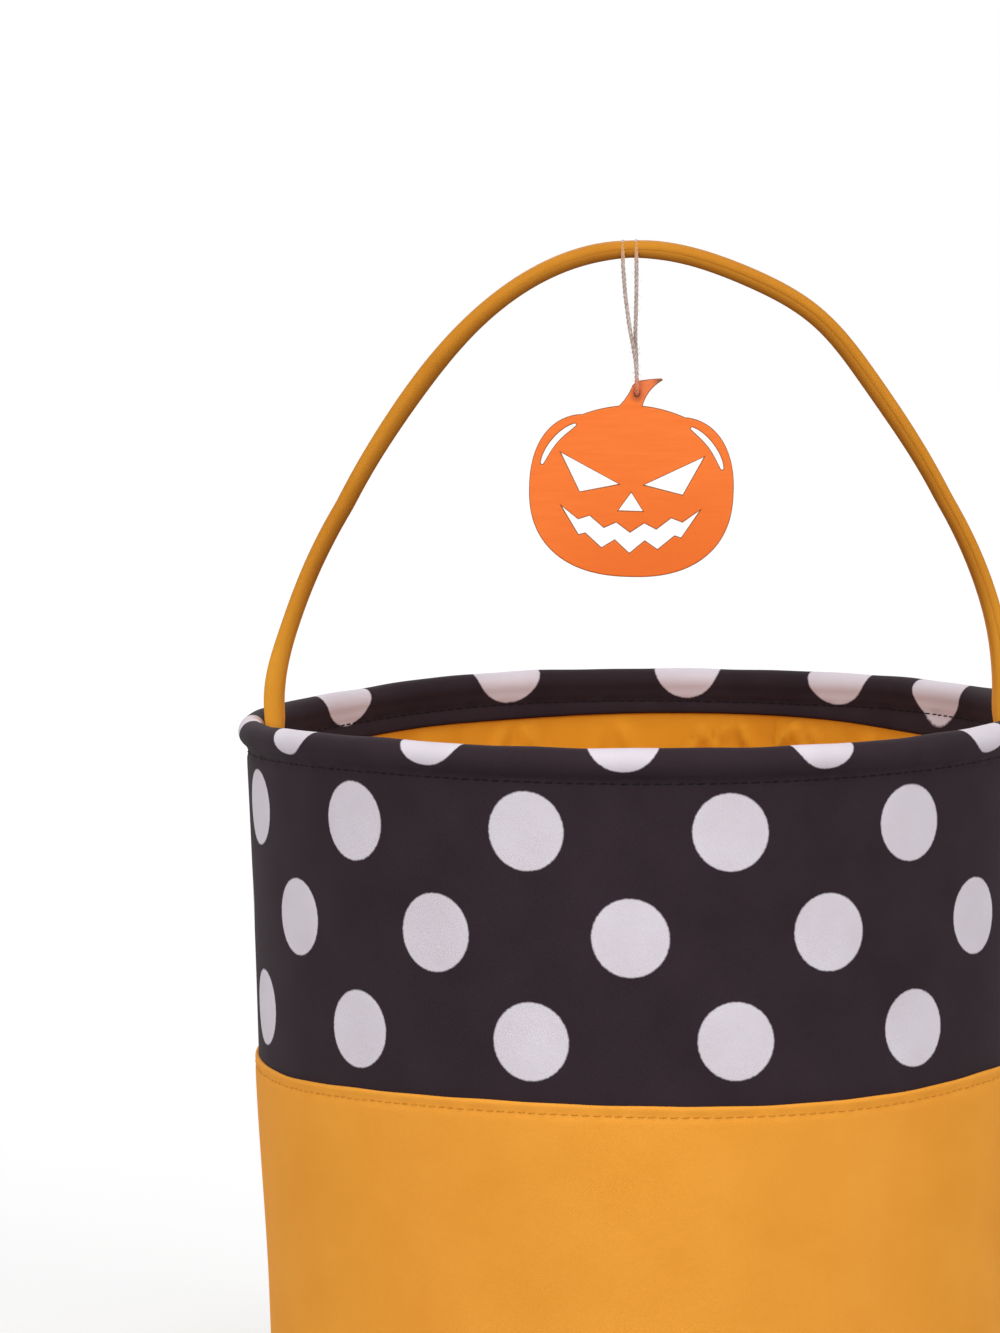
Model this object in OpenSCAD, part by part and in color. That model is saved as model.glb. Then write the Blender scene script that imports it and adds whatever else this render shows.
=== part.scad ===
// Fabric trick-or-treat bucket with a stiff strap handle and a hanging wooden pumpkin tag.
// Millimetres, +Z up, origin at the centre of the base on the floor, front towards -Y.

/* [Bucket] */
// Height from the floor to the top of the rolled rim
bucket_h = 230; // [180:1:280]
// Outside radius of the wall at the floor
base_r = 115.5; // [90:0.5:130]
// Outside radius of the wall just under the rolled rim
mouth_r = 120.8; // [100:0.1:140]
// Height of the top edge of the plain lower panel
band_h = 125; // [60:1:160]
// Height over which the lower panel laps the printed one
lap_h = 10; // [6:0.5:20]
// Height of the step where the lower panel climbs over the printed one
step_h = 2; // [1:0.5:5]
// Angle of the side seam, where the hoop and the stiffener are joined
seam_angle = 173; // [120:1:175]

/* [Plies] */
// Thickness of the outer cloth
cloth_t = 1.0; // [0.6:0.1:1.5]
// Thickness of the foam stiffener in the wall
foam_t = 2.0; // [1:0.1:4]
// Thickness of the lining cloth
lining_t = 0.8; // [0.4:0.1:1.5]
// Thickness of the board in the base
board_t = 2.0; // [1:0.1:4]
// Gap between neighbouring plies
ply_gap = 0.1; // [0.05:0.05:0.2]
// Height of the base cloth's edge, turned up inside the wall
turn_up_h = 8; // [5:0.5:15]
// Gap between the butted edges of the stiffener
butt_gap = 1.0; // [0.5:0.1:3]

/* [Rim] */
// Outside diameter of the rolled rim
roll_d = 8.8; // [8:0.1:12]
// How far the roll stands out past the wall
roll_proud = 3.1; // [2.5:0.1:4]
// Depth of the printed facing inside the mouth, from the top of the rim
facing_h = 15.5; // [13:0.5:30]
// Distance of the stiffener and lining below the roll
edge_drop = 1.0; // [0.5:0.1:3]
// Diameter of the spring wire hoop in the rim
hoop_d = 3.0; // [2:0.1:3.6]
// Gap between the two ends of the hoop
hoop_gap = 0.6; // [0.3:0.1:2]
// Outside diameter of the ferrule that joins the hoop's ends
ferrule_d = 5.0; // [4.4:0.1:6]
// Length of the ferrule
ferrule_l = 16; // [10:1:30]

/* [Handle] */
// Width of the folded strap
strap_w = 20; // [14:0.5:28]
// Thickness of the folded strap
strap_t = 5.2; // [3.6:0.1:6]
// Clearance between the strap and the inside of the rolled rim
strap_gap = 0.85; // [0.8:0.05:2]
// Height of the strap's centreline above the rim
arch_h = 140.6; // [110:0.1:180]
// Power that draws the shoulders of the arch inwards
arch_power = 1.48; // [1.2:0.01:1.6]
// How far each side of the arch swells out at half its height
arch_swell = 1.4; // [0:0.1:4]
// How far the arch leans to the right at half its height
arch_lean = 2.3; // [0:0.1:4]
// How far the right shoulder of the arch stands out
arch_bulge = 3.1; // [0:0.1:4]
// How far the left foot of the arch stands out
arch_foot = 1.7; // [0:0.1:3]
// Width of the opening between the strap's folded edges
slit_t = 0.3; // [0.2:0.1:0.6]
// Depth of the folded edges in front of the core
fold_w = 3.5; // [2.5:0.5:5]
// Width of the plastic strip inside the strap
core_w = 12; // [6:0.5:14]
// Thickness of the plastic strip inside the strap
core_t = 1.2; // [0.8:0.1:1.4]
// Clearance round the plastic strip
core_gap = 0.15; // [0.1:0.05:0.3]
// Length of each sewn tab
tab_l = 14; // [8:1:30]
// Clearance between a sewn tab and the swinging strap
tab_gap = 0.4; // [0.3:0.1:1]

/* [Twine] */
// Diameter of the jute twine
twine_d = 1.3; // [0.8:0.1:1.6]
// Distance between the two turns of twine round the strap
turn_pitch = 4.1; // [3:0.1:8]
// Place of the two turns along the handle, from the middle
turn_x = -1.25; // [-10:0.05:10]
// Clearance between the twine and the strap
wrap_gap = 0.15; // [0.1:0.05:0.3]
// Diameter of the knot behind the strap
knot_d = 3.8; // [3:0.1:4.5]
// Distance of the twine's swing axis below the strap
swing_drop = 2.2; // [2:0.1:4]
// Clearance between the turns and the swinging twine
swing_gap = 0.3; // [0.2:0.05:0.5]

/* [Tag] */
// Width of the pumpkin
tag_w = 62.4; // [50:0.1:75]
// Height of the pumpkin's lower half, from its widest place down
tag_low_h = 27; // [22:0.1:32]
// Height of its shoulders above the widest place
tag_shoulder_h = 22.3; // [18:0.1:26]
// Height of its middle rib above the widest place
tag_crown_h = 25.4; // [23:0.1:30]
// Height of the stem above the crown
stem_h = 8.8; // [7:0.1:10]
// Thickness of the plywood
tag_t = 3.0; // [2:0.1:3.4]
// Diameter of the hole in the stem
hole_d = 2.5; // [2.4:0.1:3]
// Height of the hole above the crown
hole_h = 3.4; // [3:0.1:4.2]
// Lean of the hanging tag, its right side down
tag_lean = 2.5; // [0:0.1:6]

/* [Hidden] */
$fn = 128;

gold = "#e5a032";
gold_deep = "#c87d19";
gold_lining = "#dc8c1e";
print_dark = "#33272c";
foam_grey = "#d8d4cc";
board_grey = "#8a8076";
steel = "#b9bcc0";
core_white = "#efefe9";
jute = "#a08a70";
tag_orange = "#fd7d2d";

// Each ply's outside radius at height z: the wall is a cone, and the plies lie parallel inside it.
function wall_r(z) = base_r + (mouth_r - base_r) * z / (bucket_h - roll_d);
function foam_r(z) = wall_r(z) - cloth_t - ply_gap;
function lining_r(z) = foam_r(z) - foam_t - ply_gap;
function facing_r(z) = lining_r(z) - lining_t - ply_gap;

// Heights of the plies in the base, and where the plies of the wall end under the roll.
board_z = cloth_t + ply_gap;
floor_z = board_z + board_t + ply_gap;
ply_top_z = bucket_h - roll_d - edge_drop;
lap_z = band_h - lap_h;

// The roll is a round casing: its centre, and its radius outside and inside the cloth.
roll_r = roll_d / 2;
casing_r = roll_r - cloth_t;
roll_x = mouth_r + roll_proud - roll_r;
roll_z = bucket_h - roll_r;
facing_x = facing_r(roll_z) - cloth_t;
hoop_bore_r = hoop_d / 2 + ply_gap;
ferrule_angle = 360 * ferrule_l / (2 * PI * roll_x);
hoop_gap_angle = 360 * hoop_gap / (2 * PI * roll_x);
sleeve_gap_angle = ferrule_angle + 720 * ply_gap / (2 * PI * roll_x);

// The strap stands inside the roll and turns about the X axis at the top of the rim.
span = roll_x - roll_r - strap_gap - strap_t / 2;
crest_z = bucket_h + arch_h;
arch_steps = 60;
arch_t = [for (i = [0 : arch_steps]) 180 * i / arch_steps];
function arch_z(x) = bucket_h + arch_h * pow(1 - pow(x / span, 2), arch_power / 2);
// Middle of the bulged shoulder and its reach, as angles along the arch, and the slope of the strap there.
bulge_at = 61.5;
bulge_reach = 10;
bulge_slope = 39;
// Share of the arch's height that a foot takes up, and of the left foot's stand that the right one has.
foot_share = 0.45;
right_foot = 0.5;
function hump(s) = 4 * s * (1 - s);
function arch_point(t) =
    let (
        rise = pow(abs(sin(t)), arch_power),
        bulge = arch_bulge * exp(-pow((t - bulge_at) / bulge_reach, 2)),
        foot = (t > 90 ? -1 : right_foot) * arch_foot * hump(min(rise / foot_share, 1)),
        half = span + arch_swell * hump(rise)
    )
    [half * cos(t) + arch_lean * hump(rise) + bulge * sin(bulge_slope) + foot, 0,
        bucket_h + arch_h * rise + bulge * cos(bulge_slope)];
tab_top_z = bucket_h - strap_w / 2 - tab_gap;
tab_r = min(facing_r(tab_top_z), facing_r(tab_top_z - tab_l)) - cloth_t - ply_gap;

// The strap's front edge is two folded leaves, one on each side of the slit.
leaf_r = (strap_t - slit_t) / 4;
leaf_y = -strap_w / 2 + leaf_r;
leaf_z = slit_t / 2 + leaf_r;

// The twine lies round the strap's rounded edges and hangs from its front edge.
twine_r = twine_d / 2;
edge_y = strap_w / 2 - strap_t / 2;
wrap_r = strap_t / 2 + wrap_gap + twine_r;
leaf_wrap_r = leaf_r + wrap_gap + twine_r;
hang = [turn_x, leaf_y - leaf_wrap_r, crest_z - strap_t / 2 - swing_drop];

// Route of the hanging twine from its swing axis: down before the stem, through the hole and back up.
drop_route = [
    [-2.05, 0, 0], [-1.85, 0, -3.5], [-1.45, 0, -9], [-0.75, -0.1, -15], [-0.05, -0.4, -20],
    [0.7, -0.75, -24], [1.2, -1.1, -27], [1.55, -1.7, -30], [1.72, -2.4, -32.5], [1.75, -2.6, -34.6],
    [1.75, -2.6, -36.7], [1.75, -2.4, -37.7], [1.75, -1.8, -38.6], [1.75, -0.95, -39.2], [1.75, 0, -39.4],
    [1.75, 0.95, -39.2], [1.75, 1.8, -38.6], [1.75, 2.4, -37.7], [1.75, 2.6, -36.7],
    [1.75, 2.6, -34.6], [1.72, 2.4, -32.5], [1.7, 1.7, -30], [1.65, 1.1, -27], [1.5, 0.75, -24],
    [1.5, 0.4, -20], [1.7, 0.1, -15], [1.9, 0, -9], [2, 0, -3.5], [2.05, 0, 0]
];
route_low = min([for (p = drop_route) p[2]]);
route_hole_x = [for (p = drop_route) if (p[2] == route_low) p[0]][0];
// The twine's bow fills more of the hole above its lowest place than below it.
bow_lift = 0.3;
hole_at = hang + [route_hole_x, 0, route_low + bow_lift];

// Shape of the pumpkin: half width, the middle of each shoulder, and the notch between shoulder and crown.
tag_half = tag_w / 2;
shoulder_x = 0.45 * tag_half;
notch_x = 0.505 * tag_half;
low_power = 2.36;
shoulder_power = 2.25;
hole_x = 0.024 * tag_half;
hole_z = tag_crown_h + hole_h;
// Where the stem meets the crown at the left and the right, and the corners of its cut end, right to left.
stem_foot_x = [-0.147 * tag_half, 0.083 * tag_half];
stem_cut = [[0.232, 0.81], [0.272, 0.905], [0.262, 0.96], [-0.006, 0.92], [-0.02, 0.88]];

// One point per corner of the right eye, the nose and the right half of the mouth, as shares of the half
// width and of the lower half's height.
eye = [[0.7, 0.384], [0.122, 0.046], [0.503, -0.053]];
nose = [[0, -0.045], [0.122, -0.253], [-0.122, -0.253]];
mouth_upper = [
    [0, -0.5], [0.137, -0.388], [0.257, -0.455], [0.4, -0.32], [0.51, -0.366], [0.678, -0.22]
];
mouth_lower = [[0.502, -0.538], [0.436, -0.516], [0.274, -0.678], [0.146, -0.582], [0, -0.731]];
slot_upper = [0.575, 0.728];
slot_lower = [0.893, 0.236];
slot_bow = 0.046 * tag_half;
slot_half_w = 0.0275 * tag_half;

function unit(v) = v / norm(v);
function along(path, i) = unit(path[min(i + 1, len(path) - 1)] - path[max(i - 1, 0)]);

// Corner points of a section carried along a path. The section's first axis follows side, and scales gives
// its two sizes at each place.
function sweep_points(path, directions, section, side, scales) = [
    for (i = [0 : len(path) - 1])
        let (d = directions[i], u = unit(side - (side * d) * d), v = cross(d, u))
            for (s = section) path[i] + scales[i][0] * s[0] * u + scales[i][1] * s[1] * v
];

// Triangles between neighbouring sections, and the section itself at both ends.
function sweep_faces(rings, n) = concat(
    [for (i = [0 : rings - 2], j = [0 : n - 1]) [i * n + j, (i + 1) * n + (j + 1) % n, i * n + (j + 1) % n]],
    [for (i = [0 : rings - 2], j = [0 : n - 1]) [i * n + j, (i + 1) * n + j, (i + 1) * n + (j + 1) % n]],
    [[for (j = [0 : n - 1]) j]],
    [[for (j = [n - 1 : -1 : 0]) (rings - 1) * n + j]]
);

module sweep(path, directions, section, side, scales) {
    polyhedron(
        points = sweep_points(path, directions, section, side, scales),
        faces = sweep_faces(len(path), len(section)),
        convexity = 6
    );
}

// A round cord along a path that never runs along X. Its ends are rounded when dome is set.
module cord(path, r, dome) {
    start = unit(path[0] - path[1]);
    last = len(path) - 1;
    finish = unit(path[last] - path[last - 1]);
    rise = dome ? [30, 60] : [];
    fall = dome ? [60, 30] : [];
    head = [for (a = fall) path[0] + r * sin(a) * start];
    tail = [for (a = rise) path[last] + r * sin(a) * finish];
    route = concat(head, path, tail);
    sides = 8;
    circle_points = [for (k = [0 : sides - 1]) r * [cos(360 * k / sides), sin(360 * k / sides)]];
    directions = [for (i = [0 : len(route) - 1]) along(route, i)];
    scales = concat(
        [for (a = fall) [cos(a), cos(a)]], [for (p = path) [1, 1]], [for (a = rise) [cos(a), cos(a)]]
    );
    sweep(route, directions, circle_points, [1, 0, 0], scales);
}

// Points of an arc about a centre, from one angle to another.
function arc(centre, r, from, to, steps) = [
    for (i = [0 : steps])
        let (a = from + (to - from) * i / steps)
            centre + r * [cos(a), sin(a)]
];

// Points from p to q along an arc that stands off the straight line by bow.
function bowed(p, q, bow, steps) = [
    for (i = [0 : steps])
        let (s = i / steps, n = [p[1] - q[1], q[0] - p[0]] / norm(q - p))
            p + s * (q - p) + 4 * bow * s * (1 - s) * n
];

// Points of a rounded oval from one angle to another. Its power sets how square it is.
function oval(centre, a, b, power, from, to, steps) = [
    for (i = [0 : steps])
        let (t = from + (to - from) * i / steps, c = cos(t), s = sin(t))
            centre + [a * sign(c) * pow(abs(c), 2 / power), b * sign(s) * pow(abs(s), 2 / power)]
];

module turned(profile) {
    rotate_extrude() polygon(profile);
}

// Plain lower wall: stands on the floor and laps over the printed panel at its top edge.
module lower_panel() {
    low = lap_z - step_h;
    proud = ply_gap + cloth_t;
    color(gold) turned([
        [wall_r(0) - cloth_t, 0], [wall_r(0), 0],
        [wall_r(low), low], [wall_r(lap_z) + proud, lap_z],
        [wall_r(band_h) + proud, band_h], [wall_r(band_h) + ply_gap, band_h],
        [wall_r(lap_z) + ply_gap, lap_z], [wall_r(low) - cloth_t, low]
    ]);
}

// Printed upper wall: one cloth that goes up the wall, round the hoop and down inside as the facing.
module upper_panel() {
    centre = [roll_x, roll_z];
    out_from = -acos((mouth_r - roll_x) / roll_r);
    out_to = 360 - acos((facing_x - roll_x) / roll_r);
    in_from = -acos((mouth_r - cloth_t - roll_x) / casing_r);
    in_to = 360 - acos((facing_x + cloth_t - roll_x) / casing_r);
    facing_z = bucket_h - facing_h;
    arc_steps = 28;
    color(print_dark) turned(concat(
        [[wall_r(lap_z) - cloth_t, lap_z], [wall_r(lap_z), lap_z]],
        arc(centre, roll_r, out_from, out_to, arc_steps),
        [[facing_r(facing_z) - cloth_t, facing_z], [facing_r(facing_z), facing_z]],
        arc(centre, casing_r, in_to, in_from, arc_steps)
    ));
}

// Bottom cloth, its edge turned up inside the wall.
module base_panel() {
    color(gold) turned([
        [0, 0], [foam_r(0), 0], [foam_r(turn_up_h), turn_up_h],
        [foam_r(turn_up_h) - cloth_t, turn_up_h], [foam_r(cloth_t) - cloth_t, cloth_t], [0, cloth_t]
    ]);
}

module base_board() {
    board_r = foam_r(0) - cloth_t - ply_gap;
    color(board_grey) translate([0, 0, board_z]) cylinder(r = board_r, h = board_t);
}

// Foam sheet rolled into the wall, its ends butted at the side seam.
module wall_stiffener() {
    bottom = turn_up_h + ply_gap;
    color(foam_grey) difference() {
        turned([
            [foam_r(bottom) - foam_t, bottom], [foam_r(bottom), bottom],
            [foam_r(ply_top_z), ply_top_z], [foam_r(ply_top_z) - foam_t, ply_top_z]
        ]);
        rotate([0, 0, seam_angle]) translate([0, -butt_gap / 2, 0])
            cube([2 * mouth_r, butt_gap, 2 * bucket_h]);
    }
}

module lining_wall() {
    color(gold_lining) turned([
        [lining_r(floor_z) - lining_t, floor_z], [lining_r(floor_z), floor_z],
        [lining_r(ply_top_z), ply_top_z], [lining_r(ply_top_z) - lining_t, ply_top_z]
    ]);
}

module lining_base() {
    disc_r = lining_r(floor_z) - lining_t - ply_gap;
    color(gold_lining) translate([0, 0, floor_z]) cylinder(r = disc_r, h = lining_t);
}

// A round bar, or a tube if bore is set, bent along the rim from the angle start over the angle turn.
module rim_ring(r, bore, start, turn) {
    rotate([0, 0, start]) translate([0, 0, roll_z])
        rotate_extrude(angle = turn) translate([roll_x, 0]) difference() {
            circle(r = r, $fn = 48);
            if (bore > 0) circle(r = bore, $fn = 48);
        }
}

// Spring wire, its ends on either side of the side seam.
module rim_hoop() {
    color(steel) rim_ring(hoop_d / 2, 0, seam_angle + hoop_gap_angle / 2, 360 - hoop_gap_angle);
}

// Crimped tube over the hoop's two ends.
module hoop_ferrule() {
    color(steel) rim_ring(ferrule_d / 2, hoop_bore_r, seam_angle - ferrule_angle / 2, ferrule_angle);
}

// Soft tube that pads the hoop and fills the roll, open where the ferrule is.
module hoop_sleeve() {
    start = seam_angle + sleeve_gap_angle / 2;
    color(foam_grey) rim_ring(casing_r - ply_gap, hoop_bore_r, start, 360 - sleeve_gap_angle);
}

// Sewn end of the strap, curved to the facing that it lies on.
module handle_tab(side) {
    color(gold_deep) intersection() {
        translate([0, 0, tab_top_z - tab_l]) difference() {
            cylinder(r = tab_r, h = tab_l);
            translate([0, 0, -1]) cylinder(r = tab_r - strap_t, h = tab_l + 2);
        }
        translate([side > 0 ? 0 : -2 * mouth_r, -strap_w / 2, 0]) cube([2 * mouth_r, strap_w, 2 * bucket_h]);
    }
}

module handle_tab_left() {
    handle_tab(-1);
}

module handle_tab_right() {
    handle_tab(1);
}

// Directions along the arch: upright at both ends, so that the strap stands square on the rim.
function arch_directions(angles) = [
    for (t = angles)
        t == 0 ? [0, 0, 1] : t == 180 ? [0, 0, -1] : unit(arch_point(t + 0.5) - arch_point(t - 0.5))
];

core_front = -strap_w / 2 + fold_w;
core_mid = core_front + core_gap + core_w / 2;

// Folded strap across its width: the fold at the back, and two rounded edges with a slit at the front.
function strap_section() =
    let (
        half = strap_t / 2,
        pocket_back = core_front + core_w + 2 * core_gap,
        pocket_half = core_t / 2 + core_gap
    )
    concat(
        arc([edge_y, 0], half, -90, 90, 8),
        arc([leaf_y, leaf_z], leaf_r, 90, 270, 6),
        [[core_front, slit_t / 2], [core_front, pocket_half], [pocket_back, pocket_half]],
        [[pocket_back, -pocket_half], [core_front, -pocket_half], [core_front, -slit_t / 2]],
        arc([leaf_y, -leaf_z], leaf_r, 90, 270, 6)
    );

// Strap arched over the mouth. Its ends are round about the swing axis, so they clear the tabs at any angle.
module handle_strap() {
    rounding = [15, 30, 45, 60, 72, 82];
    right = [for (i = [len(rounding) - 1 : -1 : 0]) rounding[i]];
    path = concat(
        [for (a = right) [span, 0, bucket_h - strap_w / 2 * sin(a)]],
        [for (t = arch_t) arch_point(t)],
        [for (a = rounding) [-span, 0, bucket_h - strap_w / 2 * sin(a)]]
    );
    directions = concat(
        [for (a = right) [0, 0, 1]], arch_directions(arch_t), [for (a = rounding) [0, 0, -1]]
    );
    scales = concat(
        [for (a = right) [cos(a), 1]], [for (t = arch_t) [1, 1]], [for (a = rounding) [cos(a), 1]]
    );
    color(gold_deep) sweep(path, directions, strap_section(), [0, 1, 0], scales);
}

// Flat plastic strip that keeps the strap in its arch.
module handle_core() {
    angles = [for (t = arch_t) if (t > 0 && t < 180) t];
    section = [
        [core_mid - core_w / 2, -core_t / 2], [core_mid + core_w / 2, -core_t / 2],
        [core_mid + core_w / 2, core_t / 2], [core_mid - core_w / 2, core_t / 2]
    ];
    color(core_white) sweep([for (t = angles) arch_point(t)], arch_directions(angles), section, [0, 1, 0],
        [for (t = angles) [1, 1]]);
}

// Two turns of twine round the strap, tied together in a knot behind it. The near end of each hangs down.
module twine_hitch() {
    end_z = hang[2] + twine_r + swing_gap;
    knot_at = [turn_x, strap_w / 2 + wrap_gap + knot_d / 2, arch_z(turn_x)];
    color(jute) union() {
        for (side = [-1, 1]) {
            x = turn_x + side * turn_pitch / 2;
            mid_z = arch_z(x);
            tied = knot_at + [side * twine_r, 0, 0];
            over = concat(
                arc([leaf_y, mid_z + leaf_z], leaf_wrap_r, 180, 90, 4),
                [[0, mid_z + wrap_r]],
                arc([edge_y, mid_z], wrap_r, 90, 30, 4)
            );
            under = concat(
                arc([edge_y, mid_z], wrap_r, -30, -90, 4),
                [[0, mid_z - wrap_r]],
                arc([leaf_y, mid_z - leaf_z], leaf_wrap_r, 270, 225, 3)
            );
            cord(concat([[x, hang[1], end_z]], [for (p = over) [x, p[0], p[1]]], [tied]), twine_r, false);
            cord(concat([tied], [for (p = under) [x, p[0], p[1]]]), twine_r, false);
        }
        translate(knot_at) sphere(d = knot_d, $fn = 32);
    }
}

// Twine from the front edge of the strap, through the tag's stem and back up.
module twine_drop() {
    color(jute) cord([for (p = drop_route) hang + p], twine_r, true);
}

function face_point(p) = [p[0] * tag_half, p[1] * tag_low_h];
function mirrored(p) = [-p[0], p[1]];
function shoulder_z(x) =
    let (s = (x - shoulder_x) / (tag_half - shoulder_x))
        tag_shoulder_h * pow(1 - pow(s, shoulder_power), 1 / shoulder_power);
notch_z = shoulder_z(notch_x);
function crown_z(x) = tag_crown_h - (tag_crown_h - notch_z) * pow(x / notch_x, 2);

// Stem, from its right foot to its left: it leans, and its cut end is drawn out to a point on the right.
function stem_points() =
    let (
        cut = [for (p = stem_cut) [p[0] * tag_half, tag_crown_h + p[1] * stem_h]],
        feet = [for (x = stem_foot_x) [x, crown_z(x)]]
    )
    concat(
        bowed(feet[1], cut[0], 1.5, 8), [cut[1]],
        bowed(cut[2], cut[3], 0.3, 4),
        bowed(cut[4], feet[0], 0.4, 4)
    );

// Outline of the pumpkin: a round lower half, a shoulder at each side and a flat arc between them, which
// carries the stem.
module pumpkin_outline() {
    crown_steps = 6;
    right = [for (i = [0 : crown_steps - 1]) notch_x + (stem_foot_x[1] - notch_x) * i / crown_steps];
    left = [for (i = [1 : crown_steps]) stem_foot_x[0] - (notch_x + stem_foot_x[0]) * i / crown_steps];
    side = [
        for (p = oval([shoulder_x, 0], tag_half - shoulder_x, tag_shoulder_h, shoulder_power, 0, 88, 16))
            if (p[0] > notch_x) p
    ];
    polygon(concat(
        oval([0, 0], tag_half, tag_low_h, low_power, 185, 355, 34),
        side,
        [for (x = right) [x, crown_z(x)]],
        stem_points(),
        [for (x = left) [x, crown_z(x)]],
        [for (i = [len(side) - 1 : -1 : 0]) mirrored(side[i])]
    ));
}

module face_cuts() {
    for (side = [-1, 1]) polygon([for (p = eye) let (q = face_point(p)) [side * q[0], q[1]]]);
    polygon([for (p = nose) face_point(p)]);
    half = [for (p = concat(mouth_upper, mouth_lower)) face_point(p)];
    polygon(concat(half, [for (i = [len(half) - 2 : -1 : 1]) mirrored(half[i])]));
}

// Outline of a band of even width along a line, round at both ends.
function band_points(line, w) =
    let (
        last = len(line) - 1,
        ways = [for (i = [0 : last]) along(line, i)],
        sides = [for (d = ways) w * [-d[1], d[0]]],
        start = atan2(ways[0][1], ways[0][0]),
        finish = atan2(ways[last][1], ways[last][0])
    )
    concat(
        [for (i = [0 : last]) line[i] + sides[i]],
        arc(line[last], w, finish + 60, finish - 60, 4),
        [for (i = [last : -1 : 0]) line[i] - sides[i]],
        arc(line[0], w, start - 120, start - 240, 4)
    );

// Curved light slots cut in the shoulders.
module slot_cuts() {
    points = band_points(bowed(face_point(slot_upper), face_point(slot_lower), slot_bow, 10), slot_half_w);
    polygon(points);
    polygon([for (v = points) mirrored(v)]);
}

// Plywood pumpkin with its face cut right through, hanging by the hole in its stem.
module pumpkin_tag() {
    color(tag_orange) translate(hole_at) rotate([0, tag_lean, 0]) rotate([90, 0, 0])
        translate([-hole_x, -hole_z, -tag_t / 2]) difference() {
            linear_extrude(tag_t) difference() {
                pumpkin_outline();
                face_cuts();
                slot_cuts();
            }
            translate([hole_x, hole_z, -1]) cylinder(d = hole_d, h = tag_t + 2, $fn = 32);
        }
}

lower_panel();
upper_panel();
base_panel();
base_board();
wall_stiffener();
lining_wall();
lining_base();
rim_hoop();
hoop_ferrule();
hoop_sleeve();
handle_tab_left();
handle_tab_right();
handle_strap();
handle_core();
twine_hitch();
twine_drop();
pumpkin_tag();
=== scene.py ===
import math
from functools import partial

import bpy
import numpy as np
from mathutils import Matrix


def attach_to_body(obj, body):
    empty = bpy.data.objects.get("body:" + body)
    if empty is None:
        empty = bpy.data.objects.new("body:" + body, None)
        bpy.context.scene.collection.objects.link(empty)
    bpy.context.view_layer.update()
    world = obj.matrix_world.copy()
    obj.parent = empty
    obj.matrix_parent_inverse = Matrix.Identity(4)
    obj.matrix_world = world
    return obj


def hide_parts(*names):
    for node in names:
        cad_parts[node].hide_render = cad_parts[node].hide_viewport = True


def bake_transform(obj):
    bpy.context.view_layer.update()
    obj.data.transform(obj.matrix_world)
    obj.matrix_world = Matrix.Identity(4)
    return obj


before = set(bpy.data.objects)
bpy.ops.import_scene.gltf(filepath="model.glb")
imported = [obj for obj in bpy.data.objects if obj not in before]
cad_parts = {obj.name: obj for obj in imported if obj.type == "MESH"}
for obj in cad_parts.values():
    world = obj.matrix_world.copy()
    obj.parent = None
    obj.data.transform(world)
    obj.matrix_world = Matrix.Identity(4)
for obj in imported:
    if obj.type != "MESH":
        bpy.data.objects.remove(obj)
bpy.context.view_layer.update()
mm = 0.001
fullTurn = 2 * math.pi
rng = np.random.default_rng(31)

# sizes that the pieces share with the solids, in millimetres and radians
bucket = dict(height=230.0, baseR=115.5, mouthR=120.8, bandTop=125.0, rollD=8.8, rollProud=3.1, liningIn=4.0,
              seamAt=math.radians(-105), seamDeep=0.35, seamReach=1.6)
rollR = bucket["rollD"] / 2
rollX = bucket["mouthR"] + bucket["rollProud"] - rollR
rollZ = bucket["height"] - rollR

photoCamera = dict(place=(0.0, -2.0, 0.4325), focalPx=6532.0, frameHigh=1333.0, sensor=36.0,
                   yaw=-0.02125, pitch=0.09453, roll=-0.0128)


def addObject(name, data):
    obj = bpy.data.objects.new(name, data)
    bpy.context.scene.collection.objects.link(obj)
    return obj


def addAimed(name, data, right, up, back, place):
    # an object whose axes and place are the columns of its matrix
    pose = np.eye(4)
    pose[:3] = np.stack([right, up, back, place], 1)
    obj = addObject(name, data)
    obj.matrix_world = Matrix(pose.tolist())
    return obj


def aimCamera(c):
    # a turn about the upright, a tilt about the level line, then a roll about the line of sight;
    # the rows of the product are the picture's right, down and forward
    turn, rollOver = (Matrix.Rotation(c[name], 3, "Z") for name in ("yaw", "roll"))
    tilt = Matrix.Rotation(c["pitch"] + math.pi / 2, 3, "X")
    right, down, forward = rollOver @ tilt @ turn
    data = bpy.data.cameras.new("photoCamera")
    data.sensor_width = c["sensor"]
    data.lens = c["focalPx"] / c["frameHigh"] * c["sensor"]
    bpy.context.scene.camera = addAimed("photoCamera", data, right, -down, -forward, c["place"])


aimCamera(photoCamera)
print("camera set")


def hexToLinear(code):
    # sRGB hex to linear: the low part is a straight line, the rest a power of 2.4
    c = np.array([int(code[i:i + 2], 16) for i in (1, 3, 5)]) / 255
    low, high = c / 12.92, ((c + 0.055) / 1.055) ** 2.4
    return (*np.where(c <= 0.04045, low, high).tolist(), 1.0)


def addNode(tree, kind, inputs=(), output=0, **settings):
    # adds a node and gives one of its outputs; inputs are values, hex colours or the sockets to link from
    node = tree.nodes.new("ShaderNode" + kind)
    for key, value in settings.items():
        setattr(node, key, value)
    for key, value in inputs.items() if isinstance(inputs, dict) else enumerate(inputs):
        if isinstance(value, bpy.types.NodeSocket):
            tree.links.new(value, node.inputs[key])
        else:
            node.inputs[key].default_value = hexToLinear(value) if isinstance(value, str) else value
    return node.outputs[output]


colourMix = dict(output=2, data_type="RGBA")  # a Mix node's colours are its inputs 6 and 7 and its output 2
smoothStep = dict(interpolation_type="SMOOTHSTEP")


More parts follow.
